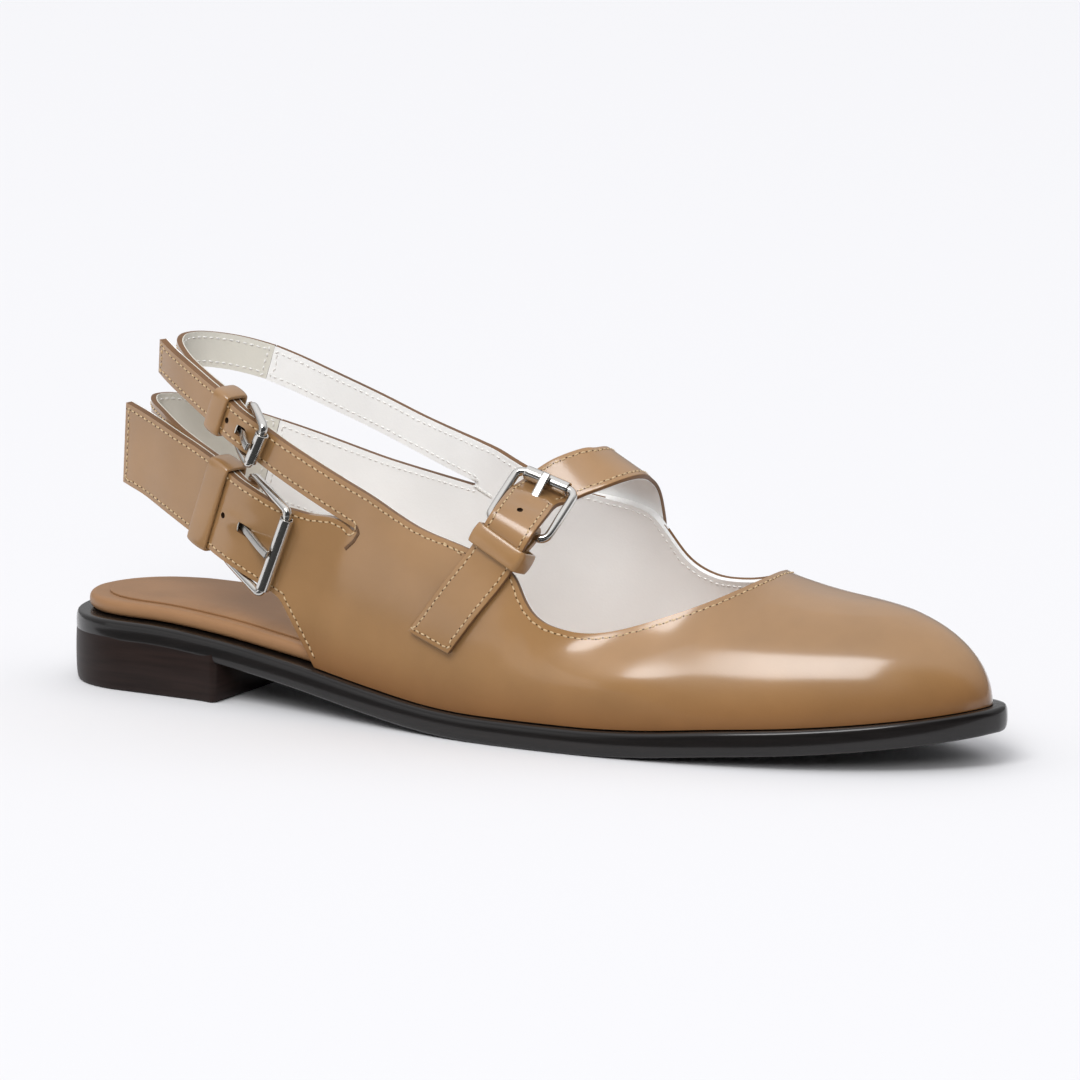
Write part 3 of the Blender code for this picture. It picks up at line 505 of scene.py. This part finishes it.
def part_skins(piece, outer_seed, inner_seed):
    """Marks faces as outer, inner or cut edge by spreading from two seeds over flat edges."""
    mesh = piece.data
    mesh.update()
    limit = math.cos(math.radians(SKIN_ANGLE))
    normals = [p.normal.copy() for p in mesh.polygons]
    centres = np.array([p.center for p in mesh.polygons])
    beside = {}
    for p in mesh.polygons:
        for key in p.edge_keys:
            beside.setdefault(key, []).append(p.index)
    near = [[] for _ in mesh.polygons]
    for faces in beside.values():
        if len(faces) == 2 and normals[faces[0]].dot(normals[faces[1]]) > limit:
            near[faces[0]].append(faces[1])
            near[faces[1]].append(faces[0])
    marks = np.full(len(mesh.polygons), CUT)
    for mark, (point, facing) in ((OUTER, outer_seed), (INNER, inner_seed)):
        facing = Vector(facing).normalized()
        gaps = np.linalg.norm(centres - np.array(point), axis=1)
        gaps += np.array([0.0 if n.dot(facing) > SEED_FACING else 1.0 for n in normals])
        spread = [int(np.argmin(gaps))]
        while spread:
            face = spread.pop()
            if marks[face] == CUT:
                marks[face] = mark
                spread += near[face]
    return marks


def rim_loops(piece, marks, mark):
    """Closed loops of points round a skin, each point with a normal and a face's middle inside."""
    mesh = piece.data
    inside = {}
    for p in mesh.polygons:
        if marks[p.index] == mark:
            for key in p.edge_keys:
                inside.setdefault(key, []).append(p.index)
    follow = {}
    for key, faces in inside.items():
        if len(faces) == 1:
            for a, b in (key, key[::-1]):
                follow.setdefault(a, []).append((b, faces[0]))
    loops, left = [], set(follow)
    while left:
        start = left.pop()
        loop, at, before = [], start, None
        while True:
            steps = [s for s in follow[at] if s[0] != before]
            if not steps:
                break
            after, face = steps[0]
            loop.append((at, face))
            left.discard(at)
            before, at = at, after
            if at == start:
                break
        points = np.array([mesh.vertices[v].co for v, _ in loop])
        normals = np.array([mesh.polygons[f].normal for _, f in loop])
        centres = np.array([mesh.polygons[f].center for _, f in loop])
        loops.append((points, normals, centres))
    return loops


def inset_path(points, normals, centres, inset):
    """The rim's line moved into the skin by the inset, square to the rim."""
    along = np.roll(points, -1, axis=0) - np.roll(points, 1, axis=0)
    along /= np.linalg.norm(along, axis=1)[:, None]
    inward = np.cross(normals, along)
    inward /= np.linalg.norm(inward, axis=1)[:, None]
    turn = np.sign(np.einsum("ij,ij->i", inward, centres - points))
    return points + inward * np.where(np.sum(turn) > 0, 1, -1) * inset


def spaced(path, step):
    """Points along a path at an even step."""
    path = np.asarray(path)
    run = np.concatenate([[0], np.cumsum(np.linalg.norm(np.diff(path, axis=0), axis=1))])
    count = max(1, int(run[-1] / step))
    places = (np.arange(count) + 0.5) * run[-1] / count
    return [np.array([np.interp(s, run, path[:, k]) for k in range(3)]) for s in places]


class Seams:
    """All the stitches of one thread, gathered row by row into one mesh."""

    def __init__(self, look, long=STITCH_LONG):
        self.look = look
        self.long = long
        self.stitches = []
        self.holes = []

    def round(self, loops, skin, keep=lambda p: True, inset=STITCH_INSET, lift=0.0):
        """A row inside each long loop of a rim."""
        for points, normals, centres in loops:
            if len(points) > LONG_LOOP:
                path = inset_path(points, normals, centres, inset) + normals * lift
                self.row(np.vstack([path, path[:1]]), skin, keep)

    def tack(self, path, skin):
        """A bar tack: close stitches that lie across their path."""
        self.row(np.array(path) * MM, skin, pitch=TACK_PITCH, across=True)

    def row(self, path, skin, keep=lambda p: True, pitch=STITCH_PITCH, across=False):
        """Stitches along a path, laid on a skin."""
        places = spaced(path, pitch)
        for k, place in enumerate(places):
            if not keep(place):
                continue
            before, after = places[max(k - 1, 0)], places[min(k + 1, len(places) - 1)]
            if np.linalg.norm(after - before) > ROW_BREAK * pitch:
                continue
            spot, normal, _, gap = skin.find_nearest(Vector(place))
            if spot is None or gap > SEAM_REACH:
                continue
            along = Vector(after - before)
            along = (along - normal * along.dot(normal)).normalized()
            if across:
                along = normal.cross(along)
            lean = STITCH_LEAN if k % 2 else -STITCH_LEAN
            along = (along + normal.cross(along) * lean).normalized()
            ways = np.array(along), np.array(normal)
            self.stitches.append((np.array(spot), *ways))
            self.holes.append((np.array(spot + along * pitch / 2), *ways))

    def pierce(self, name):
        """Painted shade in the needle's holes: a dark disc between each two stitches."""
        points, faces = [], []
        for spot, along, normal in self.holes:
            across = np.cross(normal, along)
            first = len(points)
            for k in range(HOLE_SIDES):
                a = 2 * math.pi * k / HOLE_SIDES
                ring = along * math.cos(a) * HOLE_LONG + across * math.sin(a)
                points.append(spot + ring * HOLE_RADIUS + normal * HOLE_LIFT)
            faces.append(tuple(first + k for k in range(HOLE_SIDES)))
        mesh = bpy.data.meshes.new(name)
        mesh.from_pydata([tuple(p) for p in points], [], faces)
        new_piece(name, mesh, HOLE_SHADE)

    def build(self, name):
        """One capsule a stitch, its ends dipping into the leather."""
        points, faces = [], []
        for spot, along, normal in self.stitches:
            across = np.cross(normal, along)
            first = len(points)
            for place, size, rise in STITCH_RINGS:
                middle = spot + along * place * self.long + normal * rise * STITCH_RADIUS
                for k in range(STITCH_SIDES):
                    a = 2 * math.pi * k / STITCH_SIDES
                    ring = across * math.cos(a) * STITCH_WIDE + normal * math.sin(a)
                    points.append(middle + ring * size * STITCH_RADIUS)
            last = len(points) - STITCH_SIDES
            for start in range(first, last, STITCH_SIDES):
                for k in range(STITCH_SIDES):
                    a, b = start + k, start + (k + 1) % STITCH_SIDES
                    faces.append((a, b, b + STITCH_SIDES, a + STITCH_SIDES))
            faces.append(tuple(first + k for k in reversed(range(STITCH_SIDES))))
            faces.append(tuple(last + k for k in range(STITCH_SIDES)))
        mesh = bpy.data.meshes.new(name)
        mesh.from_pydata([tuple(p) for p in points], [], faces)
        mesh.shade_smooth()
        face_out(new_piece(name, mesh, self.look))


def finish_leather(piece, marks):
    """Keeps the skin marks on the faces, rounds the cut edges and smooths the piece."""
    for look in LEATHER_LOOKS[1:]:
        piece.data.materials.append(look)
    piece.data.polygons.foreach_set("material_index", marks.astype(np.int32))
    layer = piece.data.attributes.new("skin", "INT", "FACE")
    layer.data.foreach_set("value", marks.astype(np.int32))
    round_edges(piece, EDGE_ROUND)
    smooth(piece)


def lining_from(piece, name, look, thick=LINING_THICK, keep=lambda p: True):
    """A thin skin on the inner faces of a finished leather piece, cut straight at the tongues."""
    mesh = piece.data.copy()
    made = new_piece(name, mesh, look)
    edit(made)
    bpy.ops.mesh.bisect(plane_co=(TONGUE_START, 0, 0), plane_no=(1, 0, 0))
    done()
    skins = np.zeros(len(mesh.polygons), np.int32)
    mesh.attributes["skin"].data.foreach_get("value", skins)
    pick(made, lambda p: skins[p.index] != INNER or not keep(p.center))
    bpy.ops.mesh.delete(type="FACE")
    done()
    finish_with(made, "SOLIDIFY", thickness=thick, offset=1.0)
    one_look(made)
    made.data.shade_smooth()
    # Linings take none of the painted shade low on the upper
    if "painted_low_shade" in made.data.attributes:
        made.data.attributes.remove(made.data.attributes["painted_low_shade"])
    return made


def swollen(points, key):
    """Points of the leather moved by its soft ridges and troughs."""
    for place, along, out, half_long, half_wide, height in SWELLS[key]:
        out = np.array(out) / np.linalg.norm(out)
        along = np.array(along) - out * np.dot(along, out)
        along /= np.linalg.norm(along)
        away = points - np.array(place) * MM
        reach = (away @ along / half_long) ** 2 + (away @ np.cross(out, along) / half_wide) ** 2
        reach += (away @ out / SWELL_DEEP) ** 2
        points = points + np.outer(np.exp(-reach / MM ** 2), out) * height * MM
    return points


def swell(piece, key):
    """Moves both skins of a piece together."""
    move_to(piece.data, swollen(coordinates(piece.data), key))


# Sole, heel and footbed

def support_flat_faces(piece, width):
    """Insets the flat top and bottom, so that smoothing keeps the outline."""
    for sign in (1, -1):
        pick(piece, lambda p: p.normal.z * sign > FLAT_STEEP and p.area > FLAT_AREA)
        bpy.ops.mesh.inset(thickness=width, use_boundary=True, use_even_offset=True)
        done()


def build_sole():
    """Outsole with its waxed edge, and the heel block that runs up into it without a step."""
    outsole = copy_of("outsole", "sole_edge", SOLE)
    support_flat_faces(outsole, SOLE_SUPPORT)
    smooth(outsole)
    heel = copy_of("heel", "heel_block", HEEL)
    for vertex in heel.data.vertices:
        if vertex.co.z > HEEL_UPPER_HALF:
            vertex.co.z += HEEL_OVERLAP
    support_flat_faces(heel, SOLE_SUPPORT)
    edit(heel, "EDGE")
    bpy.ops.mesh.select_all(action="DESELECT")
    bpy.ops.mesh.edges_select_sharp(sharpness=math.radians(CREASE_ANGLE))
    bpy.ops.transform.edge_crease(value=HEEL_CREASE)
    done()
    smooth(heel)
    fatten(heel, HEEL_SKIN)
    return outsole


def build_footbed():
    """Leather-wrapped footbed, with the sock glued on top a little in from its edge."""
    footbed = copy_of("insole", "footbed", FOOTBED)
    support_flat_faces(footbed, FOOTBED_SUPPORT)
    smooth(footbed)
    low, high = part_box("insole")
    middle = (low + high) / 2
    sock = new_piece("sock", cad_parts["insole"].data.copy(), FOOTBED)
    merge(sock)
    done()
    pick(sock, lambda p: p.normal.z < SOCK_FACING)
    bpy.ops.mesh.delete(type="FACE")
    bpy.ops.mesh.select_all(action="SELECT")
    to_quads()
    bpy.ops.transform.resize(value=SOCK_SHARE, center_override=middle)
    bpy.ops.mesh.remove_doubles(threshold=SOCK_MERGE)
    bpy.ops.mesh.subdivide(number_cuts=SOCK_CUTS)
    done()
    finish_with(
        sock, "SHRINKWRAP", target=footbed, wrap_method="PROJECT", use_project_x=False,
        use_project_z=True, use_negative_direction=True, use_positive_direction=True,
        offset=SOCK_LIFT,
    )
    finish_with(sock, "SOLIDIFY", thickness=SOCK_THICK, offset=1.0)
    round_edges(sock, SOCK_ROUND)
    sock.data.shade_smooth()
    face_out(sock)


# Upper

def sole_gap(point):
    """Height of a point over the sole's top face near it."""
    above = Vector((point[0], point[1] * PROBE_INWARD, PROBE_HEIGHT))
    spot = SOLE_TOP.ray_cast(above, Vector((0, 0, -1)))[0]
    return point[2] - (spot.z if spot else SOLE_LEVEL)


def paint_low_shade(piece):
    """Paints shade on the leather, darker towards the sole."""
    layer = piece.data.attributes.new("painted_low_shade", "FLOAT", "POINT")
    rise = [sole_gap(v.co) / LOW_SHADE_RISE for v in piece.data.vertices]
    layer.data.foreach_set("value", [min(1.0, max(0.0, 1.0 - r)) ** LOW_SHADE_FADE for r in rise])


def on_tongue(point):
    return point[0] < TONGUE_START and point[1] < TONGUE_SIDE


def paint_cut_edges(upper, inside):
    """Sets cut edges pale where the lining turns over them, and tan in the closed slit."""
    strap = skin_of(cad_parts["instep_strap"])
    for polygon in upper.data.polygons:
        if polygon.material_index != CUT:
            continue
        x, y, z = polygon.center
        in_slit = SLIT_X[0] < x < SLIT_X[1] and SLIT_Z[0] < z < SLIT_Z[1]
        if y > STRAP_FOOT_SIDE and strap.find_nearest(polygon.center, STRAP_FOOT_NEAR)[0]:
            polygon.material_index = PALE
        elif y < TONGUE_SIDE and in_slit:
            polygon.material_index = OUTER
        elif y > 0 and x > THROAT_BACK and inside.find_nearest(polygon.center)[3] < LINING_TURN:
            polygon.material_index = PALE


def punch(piece, key):
    """Punches a spare buckle hole into a finished tongue, its inside in painted shade."""
    place, facing = SPARE_HOLES[key]
    facing = Vector(facing)
    bpy.ops.object.select_all(action="DESELECT")
    bpy.ops.mesh.primitive_cylinder_add(
        vertices=SPARE_SIDES, radius=SPARE_RADIUS, depth=SPARE_DEEP,
        location=Vector(place) * MM + facing * SPARE_LIFT,
        rotation=facing.to_track_quat("Z", "Y").to_euler(),
    )
    tool = bpy.context.object
    for look in LEATHER_LOOKS:
        tool.data.materials.append(look)
    # The hole's inside takes the painted shade
    tool.data.polygons.foreach_set("material_index", [PUNCHED] * len(tool.data.polygons))
    finish_with(
        piece, "BOOLEAN", operation="DIFFERENCE", object=tool, solver="EXACT",
        material_mode="INDEX",
    )
    bpy.data.objects.remove(tool, do_unlink=True)
    only(piece)
    bpy.ops.object.shade_smooth_by_angle(angle=math.radians(SPARE_SMOOTH))


def build_upper(seams, lining_seams, tacks):
    """Vamp, quarters and tongues in tan, with a white lining inside and stitched edges."""
    upper = copy_of("upper", "upper_leather", TAN)
    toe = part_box("upper")[1].x
    crest = Vector((toe - VAMP_SEED_BACK, VAMP_SEED_SIDE, VAMP_SEED_RISE))
    under = crest - Vector((0, 0, UPPER_STEP))
    marks = part_skins(upper, (crest, (0, 0, 1)), (under, (0, 0, -1)))
    outer, inner = rim_loops(upper, marks, OUTER), rim_loops(upper, marks, INNER)
    finish_leather(upper, marks)
    swell(upper, "upper")
    outer = [(swollen(p, "upper"), n, swollen(c, "upper")) for p, n, c in outer]
    inner = [(swollen(p, "upper"), n, swollen(c, "upper")) for p, n, c in inner]
    paint_low_shade(upper)
    skin = skin_of(upper)
    seams.round(outer, skin, lambda p: sole_gap(p) > SEAM_OVER_SOLE)
    seams.row(np.array(COLLAR_CORNER) * MM, skin)
    for path in SLIT_TACKS:
        tacks.tack(path, skin)
    lining = lining_from(upper, "upper_lining", LINING, keep=lambda p: not on_tongue(p))
    lining_from(upper, "tongue_lining", STRAP_LINING, keep=on_tongue)
    inside = skin_of(lining)
    lining_seams.round(
        inner, inside, lambda p: sole_gap(p) > LINING_SEAM_OVER_SOLE and not on_tongue(p),
        lift=LINING_SEAM_LIFT,
    )
    lining_seams.tack(LINING_TACK, inside)
    paint_cut_edges(upper, inside)
    punch(upper, "lower")
    punch(upper, "upper")


# Straps and small leather

def build_heel_straps(seams, lining_seams):
    """The two straps round the heel, lined and stitched along their edges."""
    for key in ("upper", "lower"):
        strap = copy_of(f"heel_strap_{key}", f"heel_strap_{key}_leather", TAN)
        low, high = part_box(f"heel_strap_{key}")
        back = Vector((low.x, (low.y + high.y) / 2, high.z - STRAP_SEED_DROP[key]))
        front = back + Vector((STRAP_STEP, 0, 0))
        marks = part_skins(strap, (back, (-1, 0, 0)), (front, (1, 0, 0)))
        outer, inner = rim_loops(strap, marks, OUTER), rim_loops(strap, marks, INNER)
        finish_leather(strap, marks)
        seams.round(outer, skin_of(strap))
        lining = lining_from(strap, f"heel_strap_{key}_lining", STRAP_LINING)
        lining_seams.round(inner, skin_of(lining), lift=LINING_SEAM_LIFT)


def close_slot(strap):
    """Closes the prong's slot: takes out its walls and floor and caps the two skins."""
    out, bed = Vector(SPARE_HOLES["instep"][1]), Vector(BUCKLE_OUT["instep"])

    def in_slot(polygon):
        gap = (polygon.center - INSTEP_SLOT).length
        over, towards = abs(polygon.normal.dot(out)), abs(polygon.normal.dot(bed))
        wall = gap < SLOT_REACH and over < SLOT_WALL
        near = gap < SLOT_FLOOR_REACH * SLOT_REACH
        return wall or (near and towards > SLOT_FLOOR and over < SLOT_SKIN)

    pick(strap, in_slot)
    bpy.ops.mesh.delete(type="FACE")
    bpy.ops.mesh.select_all(action="SELECT")
    bpy.ops.mesh.fill_holes(sides=0)
    done()
    face_out(strap)


def build_instep_strap(seams):
    """The strap over the instep, with a second row of stitches where it is sewn down."""
    strap = copy_of("instep_strap", "instep_strap_leather", TAN)
    close_slot(strap)
    middles = [p.center for p in strap.data.polygons if abs(p.center.y) < CREST_HALF]
    crest, step = np.mean(middles, axis=0), np.array([0, 0, CREST_STEP])
    marks = part_skins(strap, (crest + step, CREST_FACING), (crest - step, -CREST_FACING))
    loops = rim_loops(strap, marks, OUTER)
    finish_leather(strap, marks)
    swell(strap, "instep")
    skin = skin_of(strap)
    seams.round(loops, skin)
    seams.round(loops, skin, lambda p: p[1] > SEWN_SIDE and p[2] < SEWN_TOP, SECOND_ROW)
    lining_from(
        strap, "instep_strap_lining", INSTEP_LINING, STRAP_LINING_THICK,
        lambda p: p.y > STRAP_LINED,
    )
    punch(strap, "instep")


def crown(piece, height):
    """Swells a keeper's outer side along the middle of its band."""
    mesh = piece.data
    points = coordinates(mesh)
    facing = np.array([p.normal for p in mesh.polygons])
    area = np.array([p.area for p in mesh.polygons])
    along = np.linalg.eigh((facing * area[:, None]).T @ facing)[1][:, 0]
    away = points - points.mean(axis=0)
    share = (away @ along) / np.abs(away @ along).max()
    normals = np.array([v.normal for v in mesh.vertices])
    outer = np.einsum("ij,ij->i", normals, away) > 0
    move_to(mesh, points + normals * (height * outer * (1 - share ** 2))[:, None])


def build_small_leather():
    """Crowned keepers, and the tab that holds the instep buckle."""
    for node in ("keeper_instep", "keeper_upper", "keeper_lower", "buckle_chape"):
        piece = copy_of(node, f"{node}_leather", TAN)
        round_edges(piece, SMALL_ROUND)
        smooth(piece)
        finish_with(piece, "SMOOTH", factor=SMALL_SMOOTH, iterations=SMALL_PASSES)
        if node != "buckle_chape":
            crown(piece, KEEPER_CROWN)


# Buckles

def dip_prong(piece, key):
    """Lays a prong lower between its bar and its roller."""
    points = coordinates(piece.data)
    away = points - points.mean(axis=0)
    run = away @ np.linalg.svd(away, full_matrices=False)[2][0]
    share = (run - run.min()) / np.ptp(run)
    dip = np.outer(np.sin(np.pi * share) ** PRONG_CURVE, np.array(BUCKLE_OUT[key]))
    move_to(piece.data, points - dip * PRONG_DIP[key])


def build_buckles():
    """Frame and roller of each buckle in polished nickel, the prong darker as painted shade."""
    for key in ("instep", "upper", "lower"):
        wire = copy_of(f"buckle_frame_{key}", f"frame_{key}", NICKEL)
        fatten(wire, WIRE_FATTER)
        smooth(wire)
        roller = copy_of(f"buckle_roller_{key}", f"roller_{key}", NICKEL)
        round_edges(roller, ROLLER_ROUND)
        smooth(roller)
        prong = copy_of(f"buckle_prong_{key}", f"prong_{key}", PRONG_SHADED)
        dip_prong(prong, key)
        round_edges(prong, PRONG_ROUND)
        smooth(prong)


# Stage

def new_plane(name, size):
    bpy.ops.object.select_all(action="DESELECT")
    bpy.ops.mesh.primitive_plane_add(size=size, location=(0, 0, 0))
    plane = bpy.context.object
    plane.name = name
    return plane


def build_floor():
    """Pale matt floor, and the black card over it."""
    floor = new_plane("floor", FLOOR_SIZE)
    paint, _, _, shader = shader_of("pale floor", COLOURS["floor"], FLOOR_ROUGH)
    shader.inputs["Specular IOR Level"].default_value = 0.0
    floor.data.materials.append(paint)
    card = new_plane("black_card", 1.0)
    edit(card)
    bpy.ops.transform.resize(value=CARD_SIZE, center_override=(0, 0, 0))
    bpy.ops.transform.translate(value=CARD_MIDDLE)
    done()
    card.data.materials.append(shader_of("black card", COLOURS["card"], CARD_ROUGH)[0])
    card.visible_camera = card.visible_shadow = card.visible_diffuse = False


def build_studio():
    """The soft light from all round, which the camera sees as a plain backdrop."""
    world = bpy.context.scene.world or bpy.data.worlds.new("studio")
    bpy.context.scene.world = world
    world.use_nodes = True
    nodes, links = world.node_tree.nodes, world.node_tree.links
    nodes.clear()
    out = nodes.new("ShaderNodeOutputWorld")
    sky = nodes.new("ShaderNodeBackground")
    place = nodes.new("ShaderNodeTexCoord").outputs["Generated"]
    split = nodes.new("ShaderNodeSeparateXYZ")
    links.new(place, split.inputs["Vector"])
    rise = ramp(nodes, links, split.outputs["Z"], (SKY_LOW, SKY_HIGH))
    side = nodes.new("ShaderNodeVectorMath")
    side.operation = "DOT_PRODUCT"
    side.inputs[1].default_value = DIM_TOWARDS
    links.new(place, side.inputs[0])
    near = nodes.new("ShaderNodeMapRange")
    near.interpolation_type = "SMOOTHSTEP"
    near.inputs["From Min"].default_value = DIM_FROM
    near.inputs["From Max"].default_value = DIM_FULL
    links.new(side.outputs["Value"], near.inputs["Value"])
    dim = nodes.new("ShaderNodeMix")
    dim.data_type = "RGBA"
    dim.inputs["B"].default_value = DIM_COLOUR
    links.new(near.outputs["Result"], dim.inputs["Factor"])
    links.new(rise.outputs["Color"], dim.inputs["A"])
    links.new(dim.outputs["Result"], sky.inputs["Color"])
    backdrop = nodes.new("ShaderNodeBackground")
    backdrop.inputs["Color"].default_value = BACKDROP
    seen = nodes.new("ShaderNodeLightPath")
    either = nodes.new("ShaderNodeMixShader")
    links.new(seen.outputs["Is Camera Ray"], either.inputs["Fac"])
    links.new(sky.outputs["Background"], either.inputs[1])
    links.new(backdrop.outputs["Background"], either.inputs[2])
    links.new(either.outputs["Shader"], out.inputs["Surface"])


def hang(light, place, aim, glossy, diffuse):
    """Hangs a light at a place, turned to what it aims at."""
    lamp = bpy.data.objects.new(light.name, light)
    lamp.location = place
    lamp.visible_glossy, lamp.visible_diffuse = glossy, diffuse
    lamp.rotation_euler = (aim - place).to_track_quat("-Z", "Y").to_euler()
    bpy.context.scene.collection.objects.link(lamp)


def build_lights():
    for name, place, size, power, glossy, diffuse in LIGHTS:
        light = bpy.data.lights.new(name, "AREA")
        light.shape = "RECTANGLE"
        light.size, light.size_y = size
        light.energy = power
        hang(light, Vector(place), LIGHT_AIM, glossy, diffuse)
    snoot = bpy.data.lights.new("snoot", "SPOT")
    snoot.energy = SNOOT_POWER
    snoot.spot_size, snoot.spot_blend = math.radians(SNOOT_ANGLE), SNOOT_BLEND
    snoot.shadow_soft_size = SNOOT_SOFT
    hang(snoot, SNOOT_PLACE, THROAT_MIDDLE, False, True)


def build_camera():
    azimuth, elevation = math.radians(VIEW_AZIMUTH), math.radians(VIEW_ELEVATION)
    level = math.cos(elevation)
    back = Vector((math.sin(azimuth) * level, -math.cos(azimuth) * level, math.sin(elevation)))
    right = Vector((math.cos(azimuth), math.sin(azimuth), 0))
    up = back.cross(right)
    camera = bpy.data.objects.new("camera", bpy.data.cameras.new("camera"))
    camera.location = VIEW_TARGET + back * VIEW_DISTANCE
    aim = VIEW_TARGET + right * AIM_RIGHT + up * AIM_UP
    camera.rotation_euler = (aim - camera.location).to_track_quat("-Z", "Y").to_euler()
    camera.data.sensor_width = SENSOR
    camera.data.lens = PHOTO_LENS * ZOOM
    camera.data.clip_end = CAMERA_REACH
    bpy.context.scene.collection.objects.link(camera)
    bpy.context.scene.camera = camera
    bpy.context.scene.view_settings.view_transform = "Standard"


SOLE_TOP = skin_of(build_sole())
build_footbed()
seams = Seams(THREAD)
lining_seams = Seams(LINING_THREAD)
tacks = Seams(TACK_THREAD, TACK_LONG)
build_upper(seams, lining_seams, tacks)
build_heel_straps(seams, lining_seams)
build_instep_strap(seams)
build_small_leather()
build_buckles()
seams.build("stitches")
seams.pierce("needle_hole_shade")
lining_seams.build("lining_stitches")
tacks.build("bar_tacks")
build_floor()
build_studio()
build_lights()
build_camera()
